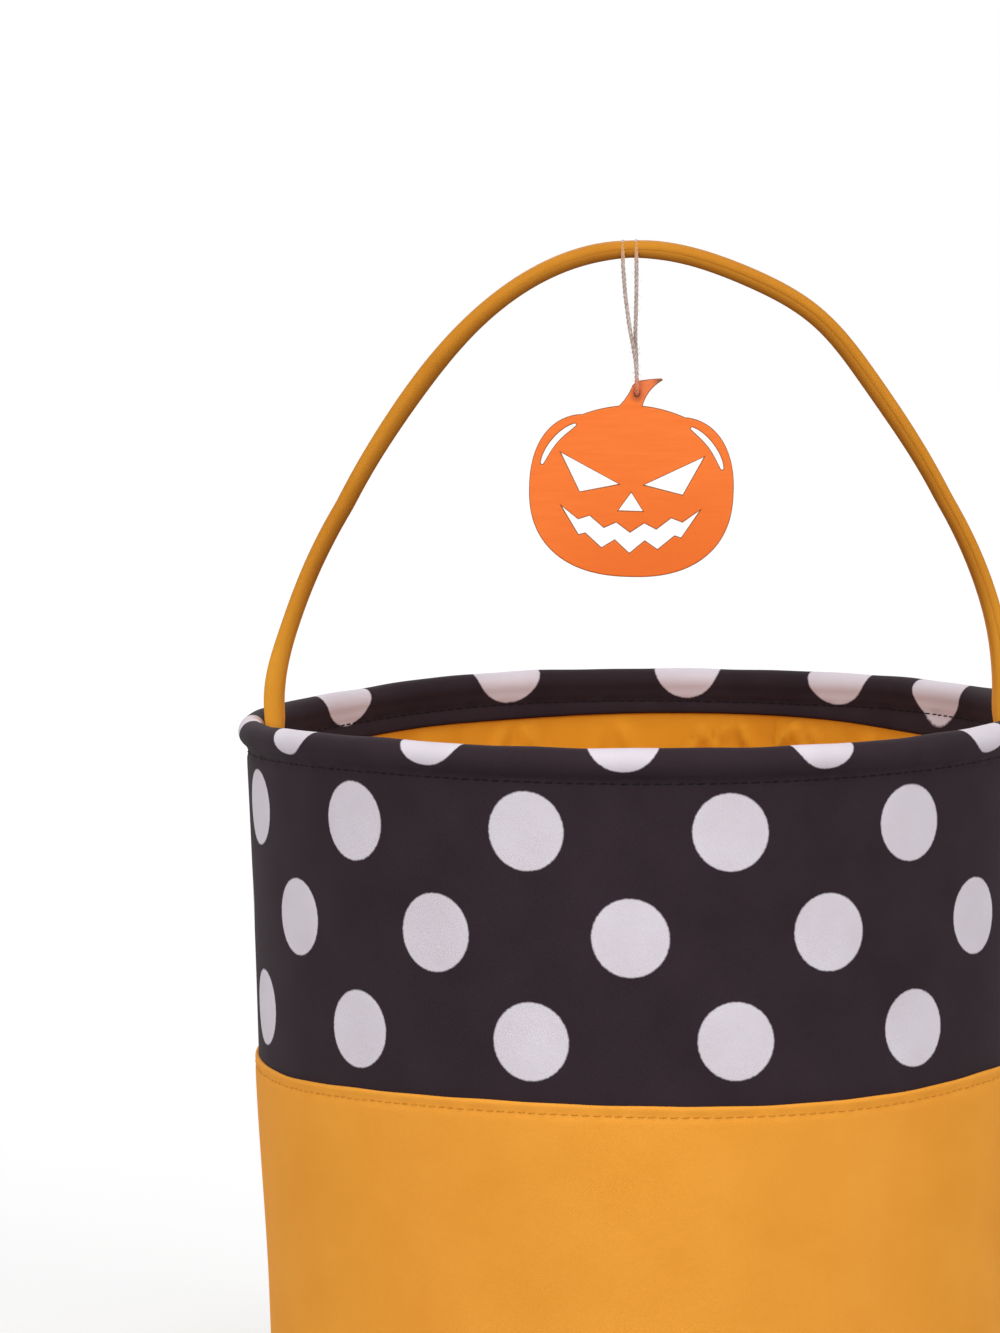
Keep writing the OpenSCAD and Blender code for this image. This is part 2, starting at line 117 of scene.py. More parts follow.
def newMaterial(name, **sockets):
    # a bare surface whose constant values sit on the shader's own sockets, and the function that adds its nodes
    material = bpy.data.materials.new(name)
    material.use_nodes = True
    surface = material.node_tree.nodes["Principled BSDF"].inputs
    for key, value in sockets.items():
        surface[key.replace("_", " ")].default_value = value
    return material, partial(addNode, material.node_tree)


def dress(material, tint, height=None, strength=0.0, depth=0.0):
    # links the colour to the surface, and a bump from the height where there is one, its depth in mm
    tree = material.node_tree
    surface = tree.nodes["Principled BSDF"].inputs
    tree.links.new(tint, surface["Base Color"])
    if height is not None:
        bump = addNode(tree, "Bump", {"Height": height, "Strength": strength, "Distance": depth * mm})
        tree.links.new(bump, surface["Normal"])
    return material


weaveBump = (0.25, 0.12)  # strength and depth in mm


def weaveHeight(add, spacing):
    # over and under of a plain weave: the product of one sine along the cloth and one across it
    uv = add("UVMap", uv_map="cloth")
    axes = add("SeparateXYZ", (uv,)).node.outputs
    phases = [add("Math", (axis, fullTurn / (spacing * mm)), operation="MULTIPLY") for axis in axes[:2]]
    waves = [add("Math", (phase,), operation="SINE") for phase in phases]
    return add("Math", waves, operation="MULTIPLY"), uv, axes


def mottle(add, uv, patch, low, high):
    # soft patches of that size in mm, as a factor between low and high; most of the noise is between 0.3 and 0.7
    noise = add("TexNoise", {"Vector": uv, "Scale": 1 / (patch * mm), "Detail": 3.0})
    return add("MapRange", (noise, 0.3, 0.7, low, high))


dyeClouds = dict(patch=28, low=0.0, high=1.0)
dyeGrain = dict(patch=1.6, low=0.0, high=0.35)


# dyed polyester canvas: matt, a fine plain weave and slight cloudiness in the dye
def dyedCanvas(name, colour, shade, thread=0.7, rough=0.82, paintedShadeAndLight=None):
    material, add = newMaterial(name, Roughness=rough, Specular_IOR_Level=0.2)
    weave, uv, axes = weaveHeight(add, thread)  # coarser than the real 0.4 mm, so that it shows
    cloud, grain = mottle(add, uv, **dyeClouds), mottle(add, uv, **dyeGrain)
    crowns = add("Math", (weave,), operation="ABSOLUTE")
    tint = colour
    for share in (cloud, add("Math", (grain, crowns), operation="MULTIPLY")):
        tint = add("Mix", {0: share, 6: tint, 7: shade}, **colourMix)
    # a caller may paint shade and light into the tint here
    if paintedShadeAndLight:
        tint = paintedShadeAndLight(add, axes, tint)
    return dress(material, tint, weave, *weaveBump)


# sublimation print on the same canvas: pale dots in staggered rows, their edges bled a little into the weave
dotPrint = dict(ground="#2e2329", groundDeep="#281d23", dot="#d7d0d8", dotShade="#cfc6ce", radius=11.35,
                pitch=60.2, rows=30.9, edge=0.35, bleed=0.2, tall=1.02, thread=0.7, raggedPatch=1.1, cloudPatch=22)


def printedCanvas(name, p):
    # each place counts from its nearest dot, and every other row is half a pitch further along
    material, add = newMaterial(name, Roughness=0.85, Specular_IOR_Level=0.15)
    weave, uv, axes = weaveHeight(add, p["thread"])
    row = add("Math", (axes[1], p["rows"] * mm), operation="DIVIDE")
    rowNumber = add("Math", (row,), operation="ROUND")
    odd = add("Math", (rowNumber, 2.0), operation="FLOORED_MODULO")
    stagger = add("Math", (odd, 0.5), operation="MULTIPLY")
    column = add("Math", (axes[0], p["pitch"] * mm), operation="DIVIDE")
    column = add("Math", (column, stagger), operation="ADD")
    columnNumber = add("Math", (column,), operation="ROUND")
    fromDot = []
    for value, number, size in ((column, columnNumber, p["pitch"]), (row, rowNumber, p["rows"] / p["tall"])):
        past = add("Math", (value, number), operation="SUBTRACT")
        fromDot.append(add("Math", (past, size), operation="MULTIPLY"))
    away = add("VectorMath", (add("CombineXYZ", fromDot),), "Value", operation="LENGTH")
    away = add("Math", (away, mottle(add, uv, p["raggedPatch"], -p["bleed"] / 2, p["bleed"] / 2)), operation="ADD")
    inDot = add("MapRange", (away, p["radius"] + p["edge"], p["radius"] - p["edge"], 0.0, 1.0), **smoothStep)
    cloud = mottle(add, uv, p["cloudPatch"], 0.0, 1.0)
    ground = add("Mix", {0: cloud, 6: p["ground"], 7: p["groundDeep"]}, **colourMix)
    dot = add("Mix", {0: cloud, 6: p["dot"], 7: p["dotShade"]}, **colourMix)
    return dress(material, add("Mix", {0: inDot, 6: ground, 7: dot}, **colourMix), weave, *weaveBump)


# spun polyester sewing thread: a twist that shows as slanted bands about 0.5 mm apart, with a soft shine
def sewingThread(name, colour, shade):
    material, add = newMaterial(name, Roughness=0.75, Specular_IOR_Level=0.12)
    place = add("TexCoord", output="Object")
    bands = add("TexWave", {"Vector": place, "Scale": 0.3 / (0.5 * mm), "Distortion": 1.5}, "Fac",
                bands_direction="DIAGONAL")
    return dress(material, add("Mix", {0: bands, 6: shade, 7: colour}, **colourMix))


def stainNear(add, place, tint, middle, reach, colour, full=0.4, share=0.85):
    # the colour spreads from a middle, at its share over the full part of its reach and gone at the whole, in mm
    away = add("VectorMath", (place, [v * mm for v in middle]), "Value", operation="DISTANCE")
    part = add("MapRange", (away, reach * mm, full * reach * mm, 0.0, share))
    return add("Mix", {0: part, 6: tint, 7: colour}, **colourMix)


def grainedStuff(name, colours, grit, bump=(0.3, 0.1), detail=3.0, grainRough=0.5, window=(0.0, 1.0),
                 drawn=(1.0, 1.0, 1.0), stains=(), **sockets):
    # noise of that grit in mm, drawn out along an axis, goes from one colour to the other and lifts the surface
    material, add = newMaterial(name, **sockets)
    place = add("TexCoord", output="Object")
    stretched = add("Mapping", {"Vector": place, "Scale": drawn})
    grain = add("TexNoise", {"Vector": stretched, "Scale": 1 / (grit * mm), "Detail": detail, "Roughness": grainRough})
    tint = add("Mix", {0: add("MapRange", (grain, *window, 0.0, 1.0)), 6: colours[0], 7: colours[1]}, **colourMix)
    for stain in stains:
        tint = stainNear(add, place, tint, *stain)
    return dress(material, tint, grain, *bump)


# laser-cut plywood edge: three plies, 2 mm from dark to dark, scorched brown
def scorchedPly(name):
    material, add = newMaterial(name, Roughness=0.75, Specular_IOR_Level=0.3)
    place = add("TexCoord", output="Object")
    plyBands = add("TexWave", {"Vector": place, "Scale": 0.314 / (2.0 * mm), "Distortion": 0.4}, "Fac",
                   bands_direction="Y")
    burn = add("TexNoise", {"Vector": place, "Scale": 1 / (2.5 * mm), "Detail": 3.0})
    wood = add("Mix", {0: plyBands, 6: "#a3541f", 7: "#bd672b"}, **colourMix)
    burnt = add("Math", (burn, 0.55), operation="MULTIPLY")
    return dress(material, add("Mix", {0: burnt, 6: wood, 7: "#5e3419"}, **colourMix))


bandCanvas = dyedCanvas("goldPolyesterCanvas", "#ec9f38", "#e59730")
liningCanvas = dyedCanvas("liningPolyesterTaffeta", "#e99d21", "#e1951c", thread=0.5, rough=0.7)
dotCanvas = printedCanvas("printedPolyesterCanvas", dotPrint)
goldThread = sewingThread("goldSpunThread", "#d99332", "#c07e22")
darkThread = sewingThread("darkSpunThread", "#1c1418", "#120d10")
# jute: dull bast fibre, streaked pale and brown along each ply; stained by the enamel at the hole and by the dye on
# the strap, each with its middle, reach in mm and colour
juteTwine = grainedStuff(
    "spunJute", ("#9a8880", "#cdbdb6"), 0.8, (0.5, 0.1), 4.0, window=(0.32, 0.68), Roughness=0.9, Sheen_Weight=0.25,
    Specular_IOR_Level=0.2, stains=[((0.5, -12.8, 327.2), 6.0, "#dd7a4c"), ((-1.2, -9.8, 371.2), 5.2, "#cf8f45")])
# sprayed enamel on birch plywood: thin, so the grain still lifts it and clouds its colour; deeper where the spray
# gathered at the foot, browned by the cutter at the stem's tip, and darker round its hole
tagEnamel = grainedStuff(
    "orangeEnamelOnPly", ("#ee752d", "#f47d35"), 1.4, (0.35, 0.08), 5.0, 0.6, (0.3, 0.7), (0.12, 1.0, 1.0),
    [((8.0, -12.3, 262.0), 45.0, "#e97028"), ((3.0, -12.3, 329.0), 6.2, "#e27a4a"),
     ((8.6, -12.3, 331.3), 3.6, "#6f5240"), ((0.5, -12.3, 326.4), 2.4, "#b4562b")],
    Roughness=0.55, Specular_IOR_Level=0.2)
tagEdge = scorchedPly("laserCutPlyEdge")
# closed-cell foam: matt and pale, with fine pores
foamSheet = grainedStuff("closedCellFoam", ("#dcd8d0", "#cdc8be"), 0.6, Roughness=0.9)
print("materials made")


def bell(x, width):
    # bump of height 1 that dies away over width
    return np.exp(-(x / width) ** 2)


def rising(x, start, stop):
    # straight rise from 0 at start to 1 at stop
    return np.clip((x - start) / (stop - start), 0, 1)


def ease(x):
    # from 0 to 1 with level ends: three squares less two cubes
    return x * x * (3 - 2 * x)


def unit(v):
    # each vector over its length
    return v / np.linalg.norm(v, axis=-1, keepdims=True)


def wayAlong(line):
    # unit direction of a line at each of its points
    return unit(np.gradient(line, axis=0))


def lengths(line):
    # running length along a line of points
    return np.concatenate([[0.0], np.cumsum(np.linalg.norm(np.diff(line, axis=0), axis=1))])


def valuesAt(values, s, at):
    # values known at the running lengths s, at other lengths in proportion
    return np.stack([np.interp(at, s, column) for column in values.T], 1)


def soften(line, step, reach):
    # the line at even steps, each point then the bell-weighted mean of those within reach
    s = lengths(line)
    even = valuesAt(line, s, np.linspace(0, s[-1], int(s[-1] / step) + 1))
    half = int(2.5 * reach / step)
    weights = bell(np.arange(-half, half + 1) * step, reach)
    padded = np.pad(even, ((half, half), (0, 0)), mode="reflect", reflect_type="odd")
    return np.stack([np.convolve(column, weights / weights.sum(), "valid") for column in padded.T], 1)


def stack(*columns):
    # columns side by side, one row for each point
    return np.stack(columns, 1)


def arc(x, y, r, start, stop, count):
    # points on a circle between two angles in degrees
    a = np.radians(np.linspace(start, stop, count))
    return stack(x + r * np.cos(a), y + r * np.sin(a))


def evenAngles(count):
    # a full turn in even steps
    return fullTurn * np.arange(count) / count


def roundAxis(r, angle, z):
    # points at a radius, an angle from the front and a height
    return np.stack(np.broadcast_arrays(r * np.sin(angle), -r * np.cos(angle), z), -1)


def gridFaces(rows, cols, wrapRows, wrapCols):
    # one four-sided face between each two rows and columns, and the same faces in the unwrapped cloth
    i = np.arange(rows if wrapRows else rows - 1)[:, None]
    j = np.arange(cols if wrapCols else cols - 1)[None, :]

    def corners(nextI, nextJ, wide):
        four = np.broadcast_arrays(i * wide + j, nextI * wide + j, nextI * wide + nextJ, i * wide + nextJ)
        return np.stack(four, -1).reshape(-1, 4)

    return corners((i + 1) % rows, (j + 1) % cols, cols), corners(i + 1, j + 1, cols + 1 if wrapCols else cols)


def endCaps(rows, sides):
    # the first ring, turned round, and the last one
    ring = np.arange(sides)
    return np.stack([ring[::-1], ring + sides * (rows - 1)])


def clothUv(u, v, flat):
    # cloth coordinates in mm for each corner of the unwrapped faces
    return np.stack(np.broadcast_arrays(u, v), -1).reshape(-1, 2)[flat.ravel()] * mm


def makePiece(name, points, quads, material, uv=None, caps=()):
    # puts points, faces and cloth coordinates into a mesh; a closed form of negative volume is turned right side out
    a, b, c, d = (points[quads[:, k]] for k in range(4))
    volume = (a * (np.cross(b, c) + np.cross(c, d))).sum()
    faces = quads.tolist() + list(caps)
    if volume < 0:
        faces = [face[::-1] for face in faces]
        uv = None if uv is None else uv.reshape(-1, 4, 2)[:, ::-1].reshape(-1, 2)
    mesh = bpy.data.meshes.new(name)
    mesh.from_pydata(points.tolist(), [], faces)
    if uv is not None:
        capUv = np.zeros((sum(map(len, caps)), 2))
        layer = mesh.uv_layers.new(name="cloth")
        layer.data.foreach_set("uv", np.concatenate([uv, capUv]).astype(np.float32).ravel())
    mesh.polygons.foreach_set("use_smooth", np.ones(len(mesh.polygons), bool))
    mesh.materials.append(material)
    mesh.validate()
    mesh.update()
    return addObject(name, mesh)


def attach(obj, body, slot, *nodes):
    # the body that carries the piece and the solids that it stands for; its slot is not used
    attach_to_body(obj, body)
    if nodes:
        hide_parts(*nodes)


def clothSection(line, outerAt, innerAt, thick):
    # closed section of a cloth: out along its face, round its edge, back along its inside and round the other edge;
    # gives radius and height, the face's normal and the running length at each point
    way, s = wayAlong(line), lengths(line)
    normal = stack(way[:, 1], -way[:, 0])

    def at(values, places):
        return valuesAt(values, s, places)

    ends, back = outerAt[[-1, 0]], innerAt[::-1]
    edge = at(line, ends) - thick / 2 * at(normal, ends) + thick / 2 * at(way, ends) * np.array([[1], [-1]])
    order = np.concatenate([outerAt, ends[:1], back, ends[1:]])
    places = np.concatenate([at(line, outerAt), edge[:1], at(line, back) - thick * at(normal, back), edge[1:]])
    return places, at(normal, order), order


def smoothLoop(angle, degrees, values):
    # a smooth closed curve through the values at those angles: the mean of the straight runs under a bell
    step, reach, half = 0.5, 9.0, 40  # degrees, degrees and steps
    fine = np.linspace(-math.pi, math.pi, int(360 / step) + 1)
    rough = np.interp(np.degrees(fine), degrees, values, period=360)
    weights = bell(np.arange(-half, half + 1) * step, reach)
    padded = np.concatenate([rough[-half - 1:-1], rough, rough[1:half + 1]])
    smooth = np.convolve(padded, weights / weights.sum(), "valid")
    return np.interp((angle + math.pi) % fullTurn - math.pi, fine, smooth)


def noMove(angle, at):
    # nothing anywhere
    return 0.0 * angle * at


def turnCloth(name, section, columns, push, material, uvAt, lift=noMove):
    # carries the section round the axis from the side seam; push(angle, length) moves it along its normal and
    # lift(angle, length) straight up
    places, normals, s = section
    angle = bucket["seamAt"] + fullTurn * np.arange(columns + 1) / columns
    turn, at = angle[:-1, None], s[None, :]
    moved = push(turn, at)
    points = roundAxis(places[:, 0] + moved * normals[:, 0], turn,
                       places[:, 1] + moved * normals[:, 1] + lift(turn, at))
    quads, flat = gridFaces(columns, len(s), True, True)
    uv = clothUv(*uvAt(angle[:, None], np.append(s, s[0])[None, :]), flat)
    return makePiece(name, points.reshape(-1, 3) * mm, quads, material, uv)


def plainUv(angle, at):
    # along the wall by the base's radius, and up it by the running length
    return angle * bucket["baseR"], at


def angleFrom(angle, start):
    # angle away from a start, between half a turn each way
    return (angle - start + math.pi) % fullTurn - math.pi


def sunkSeam(angle):
    # narrow groove along the side seam
    away = angleFrom(angle, bucket["seamAt"]) * bucket["mouthR"]
    return -bucket["seamDeep"] * bell(away, bucket["seamReach"])


def wallRadius(z):
    # straight cone from the base to the mouth
    return bucket["baseR"] + (bucket["mouthR"] - bucket["baseR"]) * z / (bucket["height"] - bucket["rollD"])


def sway(angle, terms):
    # waves round the bucket or along a strap: the sum of size times sine of count times the angle plus a start
    return sum(size * np.sin(count * angle + start) for size, count, start in terms)


upperPanel = dict(low=116.0, neckZ=219.6, waist=0.4, thick=0.9, groove=0.5, grooveReach=1.3, facing=13.8,
                  facingGap=1.15, flare=0.35, flareReach=2.5, flatLeft=0.7, flatTurn=0.6, flatReach=6.0, rollReach=9.0,
                  columns=480, waves=[(0.14, 3, 0.6), (0.1, 5, 2.1), (0.08, 9, 0.4)],
                  pinches=[(0.35, 61, 0.3), (0.21, 97, 1.9)], lumps=[(0.12, 7, 1.0), (0.1, 17, 0.2), (0.07, 29, 2.6)])
# how the print lies on it: where it starts, and how its rows ease over the roll, tilt, bow, lean and spread
printFit = dict(angle=-0.026, rowZero=1.0, clothR=119.45, eased=1.0, easedOver=6.0, tilt=0.55, bow=2.0, bowZero=0.7,
                bowOver=12.0, shear=0.45, shearRow=2.0, spread=0.009, spreadRow=1.55, spreadTo=1.2)
# how far the soft rim, the band's edge and the facing's hem wander from their level, in mm at angles from the front
rimWander = ([-180, -165, -150, -139, -125, -110, -97, -80, -60, -40, -25, 0, 15, 30, 45, 60, 90, 116, 125, 140,
              152, 165],
             [0.5, 0.75, 0.3, -0.7, -1.7, -2.0, -1.6, -0.9, 0.4, 1.1, 0.7, -0.1, -0.5, -0.7, -0.8, -0.6, -0.1, -0.2,
              -0.3, 0.5, -0.2, 0.2])
bandWander = ([-180, -140, -100, -72, -62, -54, -40, -22, -8, 0, 12, 22, 33, 45, 53, 70, 100, 140],
              [0.3, -0.3, 0.2, -0.5, -0.8, 0, 1.1, 1.15, 0.7, 0.1, -0.7, -0.9, -1.3, -0.6, 0.3, 0.3, -0.2, 0.3])
hemWander = ([-180, -161, -156, -150, -145, -138, -120, -90, 0, 90, 120, 131, 138, 144, 150, 160],
             [0, -1.0, -1.3, -1.0, -0.4, -0.9, -1.6, -1.6, 0, -1.8, -3.2, -3.3, -2.6, -1.3, -0.2, 0.2])
# dots along the rim: angle from the front, mm to the inside of the row's line and stretch along the rim
rimDots = [(-86, 0, 1.0), (-58.3, -0.5, 0.94), (-30.3, 0, 0.92), (-2.2, 0, 0.92), (26.3, 0, 0.88), (57.7, 0, 0.94),
           (90.6, 0, 1.0), (124.6, 3.4, 1.16), (146.4, 1.0, 1.02), (172.2, 0, 0.95), (201.3, 0.2, 1.0),
           (233.3, 0.9, 1.08)]


def upperLine(c):
    # up the wall with its slight waist, round the roll and down the facing
    z = np.linspace(c["low"], c["neckZ"] + 1.5, 220)
    wall = stack(wallRadius(z) - c["waist"] * np.sin(math.pi * rising(z, bucket["bandTop"], c["neckZ"])), z)
    roll = arc(rollX, rollZ, rollR, -60, 205, 260)
    zIn = np.linspace(rollZ - 4.6, bucket["height"] - c["facing"], 40)
    facing = stack(wallRadius(zIn) - bucket["liningIn"] - c["facingGap"], zIn)
    return soften(np.concatenate([wall, roll, facing]), 0.25, 0.9)


def makeUpperPanel(c, p):
    # its line, with points close together from below the neck on, turned about the axis
    line = upperLine(c)
    s = lengths(line)
    crest = s[np.argmax(line[:, 1])]
    outside = np.arange(len(s)) < np.argmax(line[:, 1])
    neckOut = np.interp(c["neckZ"], line[outside, 1], s[outside])
    neckIn = s[~outside][np.argmin(np.abs(line[~outside, 1] - c["neckZ"]))]
    outerAt = np.concatenate([np.linspace(0, neckOut - 6, 26), np.linspace(neckOut - 5, s[-1], 58)])
    innerAt = np.concatenate([np.linspace(0, neckOut - 6, 12), np.linspace(neckOut - 3, s[-1], 24)])
    section = clothSection(line, outerAt, innerAt, c["thick"])

    def push(angle, at):
        # waves in the wall, a pinched groove along both rows of stitches, a lumpy roll, a sunk seam, a flared hem and
        # a flatter left side
        middle = np.sin(math.pi * rising(at, 0, neckOut))
        wall = middle * sway(angle, c["waves"])
        pinch = 1 + sway(angle, c["pinches"])
        groove = -c["groove"] * pinch * sum(bell(at - neck, c["grooveReach"]) for neck in (neckOut, neckIn))
        roll = bell(at - crest, c["rollReach"]) * sway(angle, c["lumps"])
        flare = c["flare"] * bell(at - s[-1], c["flareReach"])
        below = bell(at - crest + c["flatReach"], c["flatReach"])
        flat = -c["flatLeft"] * bell(angle + math.pi / 2, c["flatTurn"]) * below
        return wall + groove + roll + sunkSeam(angle) + flare + flat

    def lift(angle, at):
        # the rim's wander, from nothing at the band to all of it at the neck, and the hem's below the inner stitches
        rim = rising(at, 0, neckOut) ** 4 * smoothLoop(angle, *rimWander)
        return rim + rising(at, neckIn, s[-1]) * smoothLoop(angle, *hemWander)

    def uvAt(angle, at):
        # print on the cloth: a little cloth is eased in over the roll, and the rows tilt, bow, lean and spread;
        # along the rim each place is counted from its nearest dot, by that dot's stretch
        fromCrest = at - crest
        eased = p["eased"] * np.tanh(fromCrest / p["easedOver"])
        bow = p["bow"] * (np.cos(angle) - p["bowZero"]) * rising(-fromCrest, 0, p["bowOver"])
        v = fromCrest + eased - p["rowZero"] + p["tilt"] * np.sin(angle) - bow
        row = -v / dotPrint["rows"]
        spread = p["spread"] * (row - p["spreadRow"]) * np.clip(angle, -p["spreadTo"], p["spreadTo"])
        below = (angle - p["angle"] - spread) * p["clothR"] - p["shear"] * (row - p["shearRow"])
        dots, inward, stretch = np.array(rimDots).T
        dots = np.radians(dots)
        nearest = np.searchsorted((dots[1:] + dots[:-1]) / 2, angle)
        rim = (angle - dots[nearest]) * p["clothR"] / stretch[nearest] + nearest * dotPrint["pitch"]
        rimV = np.maximum(v - inward[nearest], -0.498 * dotPrint["rows"])  # stops short of the next row
        return np.where(row < 0.5, rim, below), np.where(row < 0.5, rimV, v)

    panel = turnCloth("upperPanelCloth", section, c["columns"], push, dotCanvas, uvAt, lift)
    return panel, line, push, lift, (neckOut, neckIn)


upperCloth, rimLine, rimPush, rimLift, rimNecks = makeUpperPanel(upperPanel, printFit)
attach(upperCloth, "bag", "printed_cloth", "upper_panel")
print("upper panel made")

foamTube = dict(radius=3.2, sides=20, columns=240)


def makeFoam(c):
    # a round section turned about the axis, with the rim's wander
    a = evenAngles(c["sides"])
    out = stack(np.cos(a), np.sin(a))
    section = (np.array([rollX, rollZ]) + c["radius"] * out, out, a)

    def lift(angle, at):
        return smoothLoop(angle, *rimWander) + 0 * at

    def uvAt(angle, at):
        return angle * rollX, at * c["radius"]

    return turnCloth("rimFoam", section, c["columns"], noMove, foamSheet, uvAt, lift)


attach(makeFoam(foamTube), "bag", "foam", "hoop_sleeve")


def makeStitches(name, centres, along, up, size, material):
    # each stitch is a bent bead: it rises in a parabola along its length and its round section shrinks to the ends
    rows, sides = 7, 6
    x = np.linspace(-1, 1, rows)[:, None]
    a = evenAngles(sides)[None, :]
    thin = size["thick"] / 2 * np.sqrt(np.clip(1 - x ** 4, 0.08, 1))
    high = size["lift"] * (1 - x ** 2) - size["sink"] + thin * np.sin(a)
    bead = np.stack(np.broadcast_arrays(x * size["length"] / 2, thin * np.cos(a), high), -1).reshape(-1, 3)
    axes = stack(along, np.cross(up, along), up)
    points = centres[:, None] + sum(bead[None, :, k, None] * axes[:, None, k] for k in range(3))
    starts = rows * sides * np.arange(len(centres))[:, None]
    quads = (gridFaces(rows, sides, False, True)[0][None] + starts[:, :, None]).reshape(-1, 4)
    caps = np.concatenate([cap + starts for cap in endCaps(rows, sides)])
    return makePiece(name, points.reshape(-1, 3) * mm, quads, material, caps=caps.tolist())


def stitchRing(name, line, push, lift, at, size, material):
    # stitches end to end round the bucket, at one running length of the cloth's section
    s = lengths(line)
    (r, z), (wayR, wayZ) = (valuesAt(values, s, [at])[0] for values in (line, wayAlong(line)))
    angle = bucket["seamAt"] + fullTurn * (np.arange(size["count"]) + 0.5) / size["count"]
    here = angle[:, None], np.array([[at]])
    moved = push(*here)[:, 0]
    centres = roundAxis(r + moved * wayZ, angle, z - moved * wayR + lift(*here)[:, 0])
    along = stack(np.cos(angle), np.sin(angle), 0 * angle)
    up = roundAxis(wayZ, angle, -wayR)
    return makeStitches(name, centres, unit(along + size["slant"] * np.cross(up, along)), up, size, material)


rimStitch = dict(length=2.7, thick=0.5, lift=0.1, sink=0.08, slant=0.05, count=236)
bandStitch = dict(length=2.6, thick=0.5, lift=0.1, sink=0.06, slant=0.05, count=232)
for name, at in zip(("rimStitchesOutside", "rimStitchesInside"), rimNecks):
    attach(stitchRing(name, rimLine, rimPush, rimLift, at, rimStitch, darkThread), "bag", "printed_cloth")
print("rim stitched")

lowerPanel = dict(corner=2.5, proudLow=50.0, proudHigh=118.0, proud=1.25, edgeR=0.8, thick=1.0, stitchDrop=3.5,
                  groove=0.28, grooveReach=1.4, edgeReach=3.0, wanderOver=60.0, columns=480,
                  waves=[(0.2, 2, 0.3), (0.22, 5, 1.2), (0.12, 11, 2.0)], pinches=[(0.4, 58, 0.1), (0.2, 89, 2.2)],
                  edgeWaves=[(0.08, 13, 0.5), (0.064, 31, 1.4)])


def lowerLine(c):
    # from under the base's edge round its corner, up the wall, slowly out over the printed cloth and over the fold
    corner, edgeR = c["corner"], c["edgeR"]
    foot = arc(bucket["baseR"] - corner, corner, corner, -90, 0, 30)
    z = np.linspace(corner + 1, bucket["bandTop"] - edgeR, 260)
    wall = stack(wallRadius(z) + c["proud"] * ease(rising(z, c["proudLow"], c["proudHigh"])), z)
    top = arc(wall[-1, 0] - edgeR, wall[-1, 1], edgeR, 0, 180, 24)
    return soften(np.concatenate([foot, wall, top]), 0.25, 0.5)


def makeLowerPanel(c):
    # its line turned about the axis, with points close together at the foot and by the stitches
    line = lowerLine(c)
    s = lengths(line)
    top = s[np.argmax(line[:, 1])]
    stitchAt = top - c["stitchDrop"]
    outerAt = np.concatenate([np.linspace(0, 6, 8), np.linspace(9, stitchAt - 8, 26),
                              np.linspace(stitchAt - 6, s[-1], 34)])
    innerAt = np.concatenate([np.linspace(0.8, 110, 10), np.linspace(112, s[-1] - 2.2, 10)])
    section = clothSection(line, outerAt, innerAt, c["thick"])

    def push(angle, at):
        # broad soft waves, a groove under the stitches with small puckers, a lifted edge and a sunk side seam
        middle = np.sin(math.pi * rising(at, 0, stitchAt))
        wall = middle * sway(angle, c["waves"])
        groove = -c["groove"] * (1 + sway(angle, c["pinches"])) * bell(at - stitchAt, c["grooveReach"])
        edge = bell(at - top, c["edgeReach"]) * sway(angle, c["edgeWaves"])
        return wall + groove + edge + sunkSeam(angle)

    def lift(angle, at):
        # the edge's wander, which dies away below the stitches
        return rising(at, stitchAt - c["wanderOver"], stitchAt) ** 2 * smoothLoop(angle, *bandWander)

    panel = turnCloth("lowerPanelCloth", section, c["columns"], push, bandCanvas, plainUv, lift)
    return panel, stitchRing("bandStitches", line, push, lift, stitchAt, bandStitch, goldThread)


lowerCloth, bandRing = makeLowerPanel(lowerPanel)
attach(lowerCloth, "bag", "gold_cloth", "lower_panel")
attach(bandRing, "bag", "gold_cloth")
print("lower panel made")

liningWall = dict(low=3.4, high=219.5, thick=0.7, loose=0.5, gatherAt=12.0, gatherReach=7.0, free=(4.5, 8.5),
                  columns=720, waves=[(0.2, 6, 0.2), (0.16, 14, 1.1), (0.12, 23, 2.7)],
                  gathers=[(0.25, 44, 0.4), (0.175, 71, 1.8)])
# soft creases of the lining: angle from the front, height, slant, length, width and depth in mm
creases = [(163, 209, 0.5, 5, 1.3, 2.25), (166, 210, -0.9, 3.6, 1.2, 1.95), (156, 208, -0.8, 5, 1.4, 2.4),
           (151, 209, 0.8, 4, 1.2, 1.65), (168, 205, 0.9, 10, 1.6, 1.65), (173, 199, -0.7, 14, 2, 1.8),
           (181, 203, 0.5, 16, 2.4, 1.35), (188, 196, -0.3, 18, 2.6, 1.35), (160, 198, -0.9, 15, 2.2, 1.5),
           (196, 204, 0.8, 12, 1.8, 1.2), (205, 199, -0.5, 17, 2.4, 1.35), (152, 203, 0.6, 13, 2, 1.35),
           (214, 197, 0.4, 18, 2.5, 1.2), (143, 196, -0.4, 16, 2.4, 1.2), (120, 190, 0.3, 26, 3.5, 1.5),
           (236, 188, -0.3, 26, 3.5, 1.5), (90, 180, 0.2, 30, 4, 1.65), (268, 176, -0.2, 32, 4.2, 1.65),
           (30, 170, 0.3, 34, 4.5, 1.65), (330, 165, -0.2, 36, 4.5, 1.65), (60, 90, 0.2, 40, 5, 1.5),
           (140, 80, -0.2, 40, 5, 1.5), (215, 95, 0.3, 42, 5, 1.5), (300, 85, -0.3, 40, 5, 1.5)]


